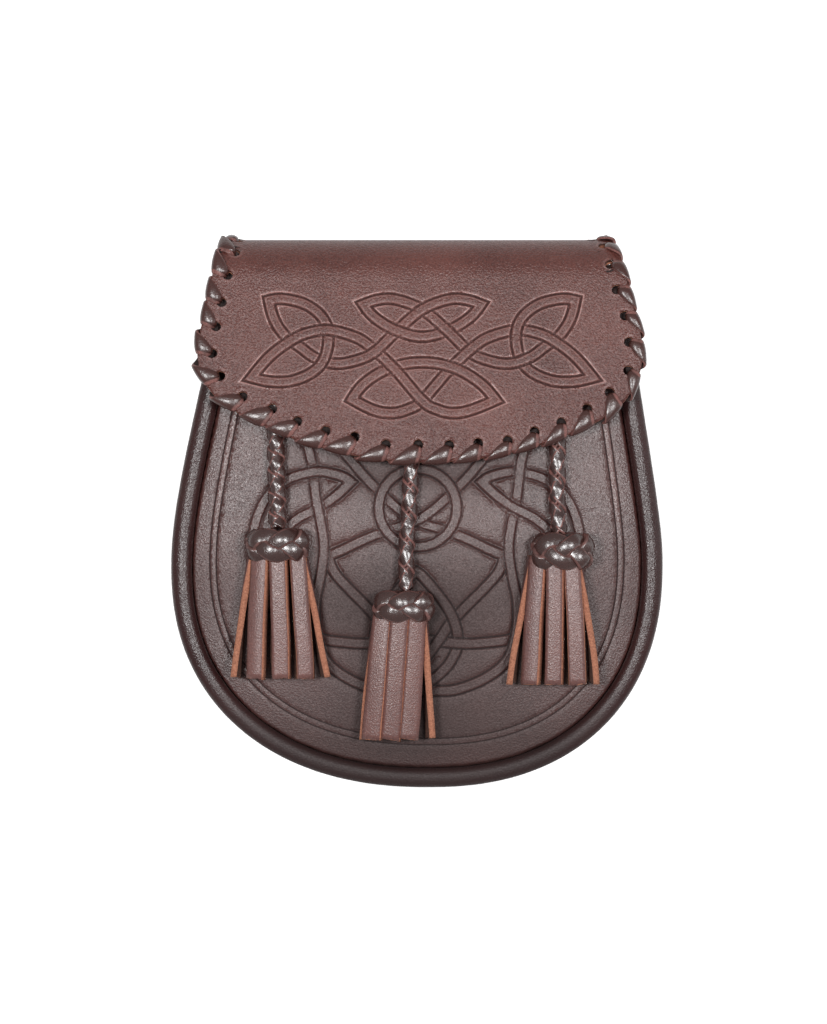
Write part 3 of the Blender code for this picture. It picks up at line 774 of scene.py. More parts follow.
def leatherSheet(name, loops, fine, coarse, thickness, place, relief, material, rounding=0.6, cutEdge=None):
    # a closed sheet: tooled grain side, plain flesh side, cut walls between. relief gives height and painted shading
    fine = thinned(fine, loops)
    inner = np.concatenate([fine, scatter(loops, coarse, coarse * 0.6, fine)])
    under = scatter(loops, 3.0, 1.6, np.zeros((0, 2)))
    topFlat = np.concatenate([*loops, inner])
    underFlat = np.concatenate([*loops, under])
    edge = edgeDistance(topFlat, loops[0])
    height, paintedShadeAndWear = relief(topFlat, edge)
    roll = np.clip(rounding - edge, 0, rounding)
    height = height - (rounding - np.sqrt(np.maximum(rounding**2 - roll**2, 0)))
    points = np.concatenate([place(topFlat, -height), place(underFlat, np.full(len(underFlat), thickness))])
    shift = len(topFlat)
    faces = triangulate(loops, inner).tolist() + (triangulate(loops, under)[:, ::-1] + shift).tolist()
    walls, start = [], 0
    for loop in loops:
        count = len(loop)
        for i in range(count):
            this, after = start + i, start + (i + 1) % count
            walls.append((after, this, shift + this, shift + after))
        start += count
    cut = [0] * len(faces) + [1] * len(walls)
    paintedShadeAndWear = np.concatenate([paintedShadeAndWear, np.zeros(len(underFlat))])
    return newPiece(name, points, faces + walls, material, {"paintedShadeAndWear": paintedShadeAndWear}, (cutEdge or plains["cutSuede"],), cut)


# interlaced bands: each leg is a soft line, and legs that share a tip meet there in a mitre

def mirrored(points):
    return [(-x, y) for x, y in points]


def throughMiddle(points):
    # a leg that ends on the axis, carried on into its mirror image
    return points + mirrored(points)[-2::-1]


def bandLegs(legs, tips, axis, tipReach=9.0, step=0.9):
    # legs as even lines about the ornament's own axis; at a tip each goes on round the corner
    lines = {name: evenly(smoothLine(points) + [axis, 0], step) for name, points in legs.items()}
    longer = {}
    extra = int(tipReach / step)
    for name, line in lines.items():
        for first, second in tips:
            for mine, other in ((first, second), (second, first)):
                if mine[0] != name:
                    continue
                partner = lines[other[0]] if other[1] == 0 else lines[other[0]][::-1]
                turn = partner[1:extra]
                line = np.concatenate([turn[::-1], line]) if mine[1] == 0 else np.concatenate([line, turn])
        longer[name] = line
    return longer


def grooveDip(distance, width):
    # a pressed groove: flat in the middle, steep at its two sides
    return 1 - smoothstep(width * 0.28, width, np.abs(distance))


def hump(distance, width):
    return np.exp(-((distance / width) ** 2))


def bandRelief(points, lines, crossings, look, axis):
    # height and painted shading of the bands, each a pillow between two cuts with pressed-down ground beside
    # them; each cut is painted dark as shade and each shoulder lighter, partly as wear and partly as a painted
    # highlight, which is shading below 0; at a crossing the leg that is named lies on top
    distances = np.array([distanceToLine(points, line) for line in lines.values()])
    levels = np.zeros_like(distances)
    for x, y, top in crossings:
        closeness = np.exp(-((points[:, 0] - x - axis) ** 2 + (points[:, 1] - y) ** 2) / look["crossing"] ** 2)
        levels[list(lines).index(top)] += closeness
    height = np.zeros(len(points))
    paintedShadeAndWear = np.zeros(len(points))
    outer = look["width"] / 2
    for layer in np.argsort(levels, axis=0, kind="stable"):
        distance = np.minimum(distances[layer, np.arange(len(points))], 1e3)
        past = distance - outer
        cover = 1 - smoothstep(0, look["cut"] * 2, past)
        reach = np.abs(past) / np.where(past > 0, look["ground"], look["shoulder"])
        rise = look["rise"] * np.clip(1 - (distance / outer) ** 2, 0, 1)
        rise += look["ridge"] * hump(past + look["shoulder"] * 1.8, look["shoulder"] * 0.7)
        height = height * (1 - cover) + rise - look["depth"] * np.exp(-(reach ** look["sharp"]))
        # painted shade in the cut, and a lighter line on each shoulder, partly wear and partly a painted highlight
        shade = look["shade"] * hump(past, look["cut"]) - look["wornHighlight"] * hump(np.abs(past) - look["wornHighlightAt"], 0.2)
        paintedShadeAndWear = paintedShadeAndWear * (1 - cover) + shade
    return height, paintedShadeAndWear


def filled(line, gap):
    # the same corners, with more points on the long stretches between them
    pieces = [line[:1]]
    for a, b in zip(line[:-1], line[1:]):
        count = max(int(np.linalg.norm(b - a) / gap), 1)
        pieces.append(a + (b - a) * (np.arange(1, count + 1) / count)[:, None])
    return np.concatenate(pieces)


def bandPoints(lines, look):
    # rows of points along each band, close together where its two cuts run
    steps = (-1.3, -0.9, -0.62, -0.4, -0.22, -0.08, 0.08, 0.22, 0.4, 0.66, 1.0, 1.5)
    rows = [0] + [look["width"] / 2 + step for step in steps]
    found = []
    for line in lines.values():
        for row in rows:
            found += [filled(offsetLine(line, row), 0.5), filled(offsetLine(line, -row), 0.5)]
    return np.concatenate(found)


# the front panel, moulded into a low dome, with its interlace and two lines tooled along the edge

panel = {
    "inset": 7.9, "insetLow": -0.9, "thickness": 2.5, "roll": 1.4, "rollWidth": 1.4, "mould": 1.2, "mouldWidth": 10,
    "edgeRows": (0.4, 0.8, 1.2, 1.7, 2.4, 3.3, 4.3),
    # two lines tooled along the edge, fainter from lineFullY down to lineFaintY
    "lineInset": 14.6, "lineInsetLow": 2, "lineGap": 2.4, "lineTop": 60, "lineDepth": 0.34, "lineWidth": 0.28,
    "lineWorn": 0.30, "lineFullY": -40, "lineFaintY": -95, "lineFaint": 0.4,
    "lineRows": (-1.2, -0.8, -0.4, 0, 0.4, 0.8, 1.2),
    "scuff": [(-42.9, -76.4), (-43.5, -79.4), (-44.4, -82.6)], "scuffDepth": 0.12, "scuffWidth": 0.35,
    # painted shade, darker between the tassels, across the middle, along the bottom and just under the flap's
    # edge: middle, half width and half height, strength
    "paintedShade": [
        ((-2, -46), (36, 24), 0.6), ((0, -30), (130, 20), 0.40), ((2, -84), (80, 24), 0.75),
        ((-1, 18), (38, 14), 0.6),
    ],
}
# charted on the right half, x from the axis
panelChart = {
    "outer": [(24.0, 10.9), (27.5, 13.1), (34.9, 14.7), (40.9, 13.9), (47.9, 11.3), (54.4, 5.5), (58.4, -2.9),
              (59.7, -12.0), (58.4, -21.1), (54.1, -31.3), (46.8, -40.0), (35.9, -45.9), (26.8, -47.5),
              (17.3, -48.0), (6.0, -47.0), (0, -46.6)],
    "inner": [(24.0, 10.9), (28.9, 6.2), (34.4, 2.2), (39.5, -0.4), (43.9, -2.9), (49.3, -8.0), (52.2, -14.6),
              (50.8, -22.9), (45.7, -30.9), (37.7, -36.4)],
    "column": [(40.2, 26.2), (38.0, 17.1), (36.6, 5.1), (34.8, -4.0), (33.7, -13.1), (34.8, -22.9), (36.9, -33.1),
               (36.6, -43.7), (33.3, -53.9), (25.3, -60.6), (14.7, -64.8), (7.1, -65.3), (0, -65.2)],
    "sweep": [(26.4, 21.8), (22.4, 17.1), (18.7, 12.7), (12.9, 6.9), (6.4, 1.0), (0, -3.2), (-8.6, -6.2),
              (-14.0, -8.0), (-20.2, -10.6), (-26.8, -13.8), (-32.2, -16.0)],
    "lobe": [(32.2, -16.0), (30.0, -21.8), (24.9, -27.7), (18.7, -33.9), (12.9, -40.0), (7.8, -47.3),
             (2.7, -53.9), (0, -56.4)],
    "arc": [(0, -21.8), (2.7, -24.0), (8.2, -30.6), (12.2, -36.4), (14.7, -43.0), (14.7, -49.5), (12.2, -55.0),
            (8.6, -59.0), (4.2, -62.2), (0, -64.8)],
}
panelKnot = {
    "axis": -0.55, "width": 4.0, "depth": 0.62, "sharp": 1, "shoulder": 0.42, "ground": 0.95, "rise": 0,
    "ridge": 0.12, "cut": 0.24, "shade": 0.7, "wornHighlight": 0.12, "wornHighlightAt": 0.6, "crossing": 4.0,
    "ringMiddle": (0.5, 1.5), "ringRadius": 14.2,
}
panelLegs = {name: throughMiddle(panelChart[name]) for name in ("outer", "column")}
for name in ("inner", "sweep", "lobe", "arc"):
    panelLegs["right" + name.title()] = panelChart[name]
    panelLegs["left" + name.title()] = mirrored(panelChart[name])
# a tip joins two legs; 0 is a leg's first point and 1 its last
panelTips = [
    (("outer", 0), ("rightInner", 0)), (("outer", 1), ("leftInner", 0)),
    (("rightSweep", 1), ("leftLobe", 0)), (("leftSweep", 1), ("rightLobe", 0)),
    (("rightLobe", 1), ("leftLobe", 1)), (("rightArc", 0), ("leftArc", 0)), (("rightArc", 1), ("leftArc", 1)),
]
# x and y of a crossing on the right, the leg on top there, and the leg on top at its mirror image
panelCrossings = []
for x, y, *tops in [
        (38.3, 14.3, "column", "outer"), (36.2, 1.0, "rightInner", "column"), (13.5, 7.5, "ring", "ring"),
        (34, -14, "column", "column"), (14.7, -47.8, "outer", "outer"), (7.4, -47.8, "rightLobe", "leftLobe"),
        (13.5, -39, "rightArc", "leftArc"), (36.8, -45.3, "column", "column"), (0, -3.2, "rightSweep"),
        (37.2, -36.5, "column", "column"), (14.0, -4.5, "ring", "ring")]:
    panelCrossings += [(side * x, y, top) for side, top in zip((1, -1), tops)]


def makePanel():
    spacing = 0.9
    loops = [closedAcross(bodyOutline(panel["inset"], pouch["topY"], spacing, panel["insetLow"]), 130)]
    axis = panelKnot["axis"]
    lines = bandLegs(panelLegs, panelTips, axis)
    # the ring goes round a little more than once, so that its ends overlap
    steps, more = 99, 3
    turn = np.arange(0, steps + more) * 2 * math.pi / steps
    (ringX, ringY), radius = panelKnot["ringMiddle"], panelKnot["ringRadius"]
    lines["ring"] = np.column_stack([ringX + axis + radius * np.cos(turn), ringY + radius * np.sin(turn)])
    tooled = bodyOutline(panel["lineInset"], panel["lineTop"], 0.8, panel["lineInsetLow"])
    scuff = evenly(smoothLine(panel["scuff"]), 0.4)

    def relief(flat, edge):
        height, paintedShadeAndWear = bandRelief(flat, lines, panelCrossings, panelKnot, axis)
        strong = smoothstep(panel["lineFaintY"], panel["lineFullY"], flat[:, 1])
        strong = strong * (1 - panel["lineFaint"]) + panel["lineFaint"]
        fromLine = distanceToLine(flat, tooled)
        dip = strong * grooveDip(fromLine - panel["lineGap"] / 2, panel["lineWidth"])
        height -= panel["lineDepth"] * dip
        height -= panel["scuffDepth"] * hump(distanceToLine(flat, scuff), panel["scuffWidth"])
        height -= panel["roll"] * (1 - np.sqrt(1 - np.clip(1 - edge / panel["rollWidth"], 0, 1) ** 2))
        # the tooled lines are painted dark as shade, and the band between them lighter
        between = strong * panel["lineWorn"] * hump(fromLine, panel["lineGap"] * 0.36)
        paintedShadeAndWear = np.where(dip > 0.05, np.maximum(paintedShadeAndWear, dip), paintedShadeAndWear - between)
        # painted shade on the panel, from the list above
        for middle, half, strength in panel["paintedShade"]:
            paintedShadeAndWear = paintedShadeAndWear + strength * np.exp(-(((flat - middle) / half) ** 2).sum(1))
        return height, paintedShadeAndWear

    def place(flat, depth):
        # the dome, a slope down to the bottom and the moulded edge, on both sides of the sheet
        drop = panelFall(flat[:, 1]) + panel["mould"] * np.exp(-edgeDistance(flat, loops[0]) / panel["mouldWidth"])
        return np.column_stack([flat, panelHeight(flat[:, 0], flat[:, 1]) - drop - depth])

    fine = [bandPoints(lines, panelKnot), scuff]
    for share in panel["lineRows"]:
        row = panel["lineGap"] / 2 + panel["lineWidth"] * share
        fine += [offsetLine(tooled, row), offsetLine(tooled, -row)]
    for more in panel["edgeRows"]:
        fine.append(bodyOutline(panel["inset"] + more, pouch["topY"] - 1, spacing, panel["insetLow"]))
    # the panel's cut edge, in the gap beside the bead, takes the dark piping leather as painted shade
    return leatherSheet("frontPanel", loops, np.concatenate(fine), 1.1, panel["thickness"], place, relief,
                        leathers["panel"], rounding=0.4, cutEdge=leathers["piping"])


finishPiece(makePanel(), "panel_leather", "front_panel")
print("front panel made")


# the flap, which is sewn to the back, folds over the top and hangs down the front

flap = {
    "thickness": 2.5, "tail": 17, "foldRadius": 17.3, "foldTop": 99.8, "slope": 0.137, "settle": 0.00045,
    "crown": 1.6, "halfTop": 72.6, "bottomX": 2.9, "bottomY": 16.9, "bottomRadius": 138.8,
    "cornerRadius": {-1: 24.5, 1: 28.8}, "cornerX": {-1: 56.7, 1: 53.9}, "flare": {-1: 0.207, 1: 0.244},
    "edgeInset": 1.2, "gap": 0.3,
}
foldStart = math.atan(pouch["backTilt"]) - math.pi / 2
foldEnd = math.pi / 2 - math.atan(flap["slope"])
frontStart = flap["tail"] + flap["foldRadius"] * (foldEnd - foldStart)
foldY = flap["foldTop"] - flap["foldRadius"]
tailY = foldY + flap["foldRadius"] * math.cos(foldStart)
tailZ = backHeight(tailY) - flap["gap"] - flap["thickness"]
foldZ = tailZ - flap["foldRadius"] * math.sin(foldStart)
frontY = foldY + flap["foldRadius"] * math.cos(foldEnd)


def unfolded(y):
    # where a height on the front lies along the flat flap, and the other way round
    return frontStart + frontY - y


def placeFlap(flat, depth):
    # bends points of the flat flap, (across, along from the tail's end), into place
    across, along = flat[:, 0], flat[:, 1]
    depth = np.asarray(depth, float)
    angle = foldStart + np.clip((along - flap["tail"]) / flap["foldRadius"], 0, foldEnd - foldStart)
    down = np.maximum(along - frontStart, 0)
    behind = np.maximum(flap["tail"] - along, 0)
    lean = flap["slope"] - 2 * flap["settle"] * down
    normalY = np.where(down > 0, lean / np.hypot(lean, 1), np.cos(angle))
    normalZ = np.where(down > 0, 1 / np.hypot(lean, 1), np.sin(angle))
    y = foldY + flap["foldRadius"] * np.cos(angle) - down + behind * math.sin(foldStart)
    z = foldZ + flap["foldRadius"] * np.sin(angle) - behind * math.cos(foldStart)
    z = z + flap["slope"] * down - flap["settle"] * down**2
    share = np.clip(down / (frontY - flap["bottomY"]), 0, 1)
    crown = flap["crown"] * share * (across / flap["halfTop"]) ** 2
    return np.column_stack([across, y - normalY * depth, z - normalZ * depth - crown])


def flapSide(side, inset):
    # one edge of the flat flap, from the tail to the middle of its lower edge
    bottomX, middleY = side * flap["bottomX"], flap["bottomY"] + flap["bottomRadius"]
    cornerX, flare = flap["cornerX"][side], flap["flare"][side]
    reach = flap["bottomRadius"] - flap["cornerRadius"][side]
    cornerY = middleY - math.sqrt(reach**2 - (cornerX - bottomX) ** 2)
    sideAngle = math.atan(flare)
    joinAngle = math.atan2(cornerY - middleY, cornerX - bottomX)
    radius = flap["cornerRadius"][side] - inset
    startX = cornerX + radius * math.cos(sideAngle)
    sideEnd = unfolded(cornerY + radius * math.sin(sideAngle))
    along = np.linspace(0, sideEnd, 200, endpoint=False)
    foldMiddle = (flap["tail"] + frontStart) / 2
    straight = np.column_stack([startX - flare * (sideEnd - np.maximum(along, foldMiddle)), along])
    turn = np.linspace(sideAngle, joinAngle, 60, endpoint=False)
    corner = np.column_stack([cornerX + radius * np.cos(turn), unfolded(cornerY) - radius * np.sin(turn)])
    turn = np.linspace(joinAngle, -math.pi / 2, 120)
    low = flap["bottomRadius"] - inset
    bottom = np.column_stack([bottomX + low * np.cos(turn), unfolded(middleY) - low * np.sin(turn)])
    bottom[-1, 0] = bottomX
    return np.concatenate([straight, corner, bottom]) * [side, 1]


def flapOutline(inset, spacing):
    # from the tail's left end, down and round the front, to its right end
    return evenly(np.concatenate([flapSide(-1, inset), flapSide(1, inset)[-2::-1]]), spacing)


# the lace's holes as measured on the front, (x, height); more follow round the fold at an even pitch
lacing = {
    "holes": [
        (-66.6, 94.5), (-69.1, 86.1), (-71.3, 76.2), (-73.3, 67.4), (-74.6, 57.6), (-71.7, 49.3), (-63.5, 41.8),
        (-52.8, 37.4), (-43.7, 32.8), (-33.4, 29.3), (-22.9, 27.2), (-11.6, 24.4), (0.1, 24.4), (11.3, 24.2),
        (21.8, 24.9), (32.5, 25.8), (42.2, 29.1), (51.9, 32.4), (61.3, 37.4), (69.5, 43.3), (76.3, 51.3),
        (76.6, 61.7), (75.1, 71.3), (72.2, 80.8), (70.0, 90.0), (67.8, 97.2),
    ],
    "holeInset": 6.0, "pitch": 9.5, "lastAlong": 19.5, "holeLength": 3.9, "holeWidth": 3.6,
    # rings of points round a hole, then the leather pulled in at it, the rim that swells round it and a painted
    # highlight, a lighter ring, round the rim
    "rings": (1.3, 1.7, 2.2), "pull": 0.4, "pullWidth": 2.0, "rim": 0.26, "rimAt": 2.6, "rimWidth": 0.5,
    "rimHighlight": 0.2, "rimHighlightAt": 2.3, "rimHighlightWidth": 0.35,
}


def laceHoles():
    # place on the flat flap, direction of the edge, pitch and distance to the lacing's outer edge
    line = flapOutline(lacing["holeInset"], 0.1)
    outer = flapOutline(0, 0.2)
    run = runAlong(line)
    places = []
    for x, y in lacing["holes"]:
        bend = math.acos(np.clip((y - foldY) / flap["foldRadius"], -1, 1))
        onFold = flap["tail"] + flap["foldRadius"] * (bend - foldStart)
        places.append((x, onFold if y > frontY else unfolded(y)))
    for side in (-1, 1):
        at = run[np.argmin(np.linalg.norm(line - places[-1 if side > 0 else 0], axis=1))]
        while True:
            at += side * lacing["pitch"]
            place = (np.interp(at, run, line[:, 0]), np.interp(at, run, line[:, 1]))
            if place[1] < lacing["lastAlong"]:
                break
            places = places + [place] if side > 0 else [place] + places
    places = np.array(places)
    gaps = np.linalg.norm(np.diff(places, axis=0), axis=1)
    pitches = (np.append(gaps[:1], gaps) + np.append(gaps, gaps[-1:])) / 2
    found = []
    for place, pitch in zip(places, pitches):
        nearest = np.clip(np.argmin(np.linalg.norm(line - place, axis=1)), 20, len(line) - 21)
        reach = np.linalg.norm(outer - place, axis=1).min()
        found.append((place, unit(line[nearest + 20] - line[nearest - 20]), pitch, reach))
    return found


holes = laceHoles()


def holeLoop(place, head):
    turn = fullTurn(14)
    return (place + head * (lacing["holeWidth"] / 2 * np.cos(turn))[:, None]
            + leftOf(head) * (lacing["holeLength"] / 2 * np.sin(turn))[:, None])


# the interlace pressed into the flap, charted about its own axis; y is the height on the pouch
flapChart = {
    "loop": [(-55.6, 76.8), (-50.2, 77.3), (-42.3, 75.3), (-36.3, 70.6), (-34.0, 64.3), (-35.2, 56.3),
             (-39.2, 51.0), (-46.8, 47.6), (-54.5, 47.2), (-61.8, 48.7)],
    "outer": [(-61.8, 48.7), (-55.7, 55.9), (-49.6, 60.8), (-43.1, 64.4), (-34.6, 66.0), (-25.6, 63.9),
              (-19.6, 60.6), (-10.3, 52.1), (0.1, 40.2), (5.6, 37.0), (11.0, 35.8), (17.4, 36.8), (25.4, 40.8)],
    "lower": [(-55.6, 76.8), (-53.6, 69.7), (-49.6, 63.8), (-44.3, 59.8), (-39.1, 56.1), (-31.2, 53.7),
              (-22.6, 55.3), (-16.7, 58.4), (-9.0, 65.9), (0.1, 73.5), (9.4, 77.1), (15.5, 77.1), (21.3, 75.3)],
    "centreBottom": [(-21.3, 75.3), (-17.1, 70.4), (-9.6, 65.9), (0.0, 63.5), (9.6, 65.9), (17.1, 70.4),
                     (21.3, 75.3)],
    "lensTop": [(-25.4, 40.8), (-21.2, 46.3), (-14.1, 51.1), (-6.8, 53.5), (0.0, 54.2), (6.8, 53.5), (14.1, 51.1),
                (21.4, 46.3), (26.6, 40.5)],
}
flapKnot = {
    "axis": 1.55, "width": 3.8, "depth": 0.50, "sharp": 2, "shoulder": 0.40, "ground": 0.36, "rise": 0.34,
    "ridge": 0, "cut": 0.30, "shade": 1.0, "wornHighlight": 0.48, "wornHighlightAt": 0.72, "crossing": 4.2,
}
flapLegs = {
    "leftLoop": flapChart["loop"], "leftOuter": flapChart["outer"][:-1] + [(26.6, 40.5)],
    "leftLower": flapChart["lower"], "rightLoop": mirrored(flapChart["loop"]),
    "rightOuter": mirrored(flapChart["outer"]), "rightLower": mirrored(flapChart["lower"]),
    "centreBottom": flapChart["centreBottom"], "lensTop": flapChart["lensTop"],
}
flapTips = [
    (("leftLoop", 0), ("leftLower", 0)), (("leftLoop", 1), ("leftOuter", 0)),
    (("rightLoop", 0), ("rightLower", 0)), (("rightLoop", 1), ("rightOuter", 0)),
    (("leftLower", 1), ("centreBottom", 1)), (("rightLower", 1), ("centreBottom", 0)),
    (("leftOuter", 1), ("lensTop", 1)), (("rightOuter", 1), ("lensTop", 0)),
]
flapCrossings = [
    (-48.9, 63.3, "leftOuter"), (-34.3, 65.9, "leftOuter"), (-36.5, 55.0, "leftLoop"), (-16.9, 59.0, "leftLower"),
    (-11.8, 52.1, "leftOuter"), (-9.0, 65.9, "centreBottom"), (0.1, 73.5, "leftLower"), (9.2, 65.9, "rightLower"),
    (16.6, 59.0, "rightOuter"), (11.8, 52.1, "lensTop"), (0.1, 40.2, "leftOuter"), (34.3, 65.9, "rightLoop"),
    (36.3, 55.0, "rightLower"), (48.9, 63.3, "rightOuter"),
]


def makeFlap():
    edge = closedAcross(flapOutline(flap["edgeInset"], 0.9), 120)
    loops = [edge] + [holeLoop(place, head) for place, head, _, _ in holes]
    lines = bandLegs(flapLegs, flapTips, flapKnot["axis"])

    def turnedOver(flat):
        return np.column_stack([flat[:, 0], unfolded(flat[:, 1])])

    def relief(flat, _):
        height, paintedShadeAndWear = bandRelief(turnedOver(flat), lines, flapCrossings, flapKnot, flapKnot["axis"])
        for place, _, _, _ in holes:
            reach = np.linalg.norm(flat - place, axis=1)
            rim = lacing["rim"] * hump(reach - lacing["rimAt"], lacing["rimWidth"])
            height += rim - lacing["pull"] * hump(reach, lacing["pullWidth"])
            # a painted highlight: a lighter ring round each hole
            paintedShadeAndWear = paintedShadeAndWear - lacing["rimHighlight"] * hump(reach - lacing["rimHighlightAt"], lacing["rimHighlightWidth"])
        return height, paintedShadeAndWear

    fine = [turnedOver(bandPoints(lines, flapKnot))]
    for place, head, _, _ in holes:
        fine += [place + (holeLoop(place, head) - place) * grow for grow in lacing["rings"]]
    return leatherSheet("flapLeather", loops, np.concatenate(fine), 0.95, flap["thickness"], placeFlap, relief,
                        leathers["flap"])


finishPiece(makeFlap(), "flap_leather", "flap")
print("flap made")


# Geometry Nodes: a tree with named inputs, run once and turned into a plain mesh

def geometryTree(name, inputs):
    tree = bpy.data.node_groups.new(name, "GeometryNodeTree")
    tree.interface.new_socket("Geometry", in_out="INPUT", socket_type="NodeSocketGeometry")
    for label, kind in inputs.items():
        tree.interface.new_socket(label, in_out="INPUT", socket_type="NodeSocket" + kind)
    tree.interface.new_socket("Geometry", in_out="OUTPUT", socket_type="NodeSocketGeometry")
    return tree, tree.nodes.new("NodeGroupInput").outputs


def alongPoints(tree, points, shape, rotation, scale):
    # a copy of the shape at every point of the guide
    return addNode(tree, "GeometryNodeInstanceOnPoints", {
        "Points": points, "Instance": shape, "Rotation": rotation, "Scale": scale}).outputs[0]


def treeEnds(tree, geometry, material):
    # realizes the instances, shades them smooth and sets the material
    real = addNode(tree, "GeometryNodeRealizeInstances", {"Geometry": geometry})
    smooth = addNode(tree, "GeometryNodeSetShadeSmooth", {"Geometry": real.outputs[0]})
    done = addNode(tree, "GeometryNodeSetMaterial", {"Geometry": smooth.outputs[0], "Material": material})
    tree.links.new(done.outputs[0], tree.nodes.new("NodeGroupOutput").inputs[0])


def named(tree, name, kind="FLOAT"):
    return addNode(tree, "GeometryNodeInputNamedAttribute", {"Name": name}, data_type=kind).outputs[0]


def stored(tree, geometry, name, value, kind="FLOAT"):
    return addNode(tree, "GeometryNodeStoreNamedAttribute", {"Geometry": geometry, "Name": name, "Value": value},
                   data_type=kind, domain="POINT").outputs[0]


def vectorNode(tree, operation, inputs):
    return addNode(tree, "ShaderNodeVectorMath", inputs, operation=operation).outputs


def combined(tree, **axes):
    return addNode(tree, "ShaderNodeCombineXYZ", axes).outputs[0]


def facing(tree, forward):
    # a rotation whose X runs along the forward attribute and whose Z is nearest to the up attribute
    axes = {"Primary Axis": named(tree, forward, "FLOAT_VECTOR"), "Secondary Axis": named(tree, "up", "FLOAT_VECTOR")}
    return addNode(tree, "FunctionNodeAxesToRotation", axes, primary_axis="X", secondary_axis="Z").outputs[0]


def randomBetween(tree, low, high, seed):
    node = addNode(tree, "FunctionNodeRandomValue", {"Min": low, "Max": high, "Seed": seed}, data_type="FLOAT")
    return next(socket for socket in node.outputs if socket.enabled)


def runTree(tree, name, points, edges, attributes, values):
    # the guide is a plain line or cloud of points; its result becomes the piece
    guideMesh = bpy.data.meshes.new(name + "Guide")
    guideMesh.from_pydata((np.asarray(points) * mm).tolist(), edges, [])
    for key, numbers in attributes.items():
        numbers = np.asarray(numbers, np.float32)
        kind = "FLOAT_VECTOR" if numbers.ndim == 2 else "FLOAT"
        layer = guideMesh.attributes.new(key, kind, "POINT")
        layer.data.foreach_set("vector" if numbers.ndim == 2 else "value", numbers.ravel())
    guide = bpy.data.objects.new(name + "Guide", guideMesh)
    scene.collection.objects.link(guide)
    modifier = guide.modifiers.new("make", "NODES")
    modifier.node_group = tree
    for item in tree.interface.items_tree:
        if item.in_out == "INPUT" and item.name in values:
            modifier[item.identifier] = values[item.name]
    graph = bpy.context.evaluated_depsgraph_get()
    mesh = bpy.data.meshes.new_from_object(guide.evaluated_get(graph))
    guide.modifiers.remove(modifier)
    bpy.data.objects.remove(guide)
    mesh.name = name
    piece = bpy.data.objects.new(name, mesh)
    scene.collection.objects.link(piece)
    return piece


# the lace: one turn round the edge, then a tree that sets one at each hole
laceTurn = {
    "pitch": 9.5, "reach": 6.8, "tilt": 5, "uneven": 0.05, "seed": 5,
    # how high it puffs up where it is wide, and how near the middle its two borders may come
    "puff": 0.42, "puffFrom": 2.4, "puffFull": 5.5, "borderShare": 0.42,
    # the middle of the edge that the turn wraps, and the rows painted dark as shade inside the hole and under the
    # edge
    "heart": (4, 2.0, -1.25), "paintedShadeFirst": (1, 1, 0.8, 0.4), "paintedShadeLast": 15,
    # backwards along the edge, outwards from the hole, up from the face: first the forward border
    "forward": [
        (-0.7, 0.6, -2.6), (-0.85, 0.8, -1.4), (-1.1, 1.5, -0.1), (-1.15, 2.2, 0.45), (-0.9, 3.2, 0.6),
        (-0.5, 4.6, 0.5), (-0.25, 5.6, -0.1), (-0.15, 5.9, -1.1), (0.0, 5.6, -2.3), (0.9, 4.2, -3.0),
        (4.0, 2.2, -3.4), (6.9, 1.2, -4.2), (7.3, -0.6, -4.6), (7.4, -2.3, -4.6),
    ],
    "backward": [
        (1.5, 0.2, -2.6), (1.7, 0.1, -1.4), (2.05, 0.3, -0.1), (3.0, 0.9, 0.45), (4.8, 2.3, 0.6),
        (6.7, 4.1, 0.5), (8.1, 5.5, 0.0), (8.8, 5.9, -1.1), (9.1, 5.6, -2.3), (9.5, 4.2, -3.0),
        (10.4, 2.2, -3.4), (11.4, 1.0, -4.2), (11.7, -0.6, -4.6), (11.6, -2.3, -4.6),
    ],
}
# offsets in millimetres from the forward (f) or backward (b) border, or a share (m); then up, puff and raw edge
laceRow = [
    ("f", 0.0, -0.25, 0, 1), ("f", 0.05, 0.05, 0, 1), ("f", 0.45, 0.26, 0, 1), ("f", 1.05, 0.42, 0.1, 1),
    ("f", 1.3, 0.50, 0.2, 0), ("m", 0.32, 0.5, 0.8, 0), ("m", 0.5, 0.5, 1, 0), ("m", 0.68, 0.5, 0.85, 0),
    ("b", 0.75, 0.5, 0.35, 0), ("b", 0.42, 0.44, 0.1, 0), ("b", 0.28, 0.34, 0, 1), ("b", 0.0, -0.05, 0, 1),
    ("b", 0.1, -0.35, 0, 1), ("m", 0.75, -0.35, 0, 0), ("m", 0.5, -0.35, 0, 0), ("m", 0.25, -0.35, 0, 0),
    ("f", 0.15, -0.4, 0, 1),
]


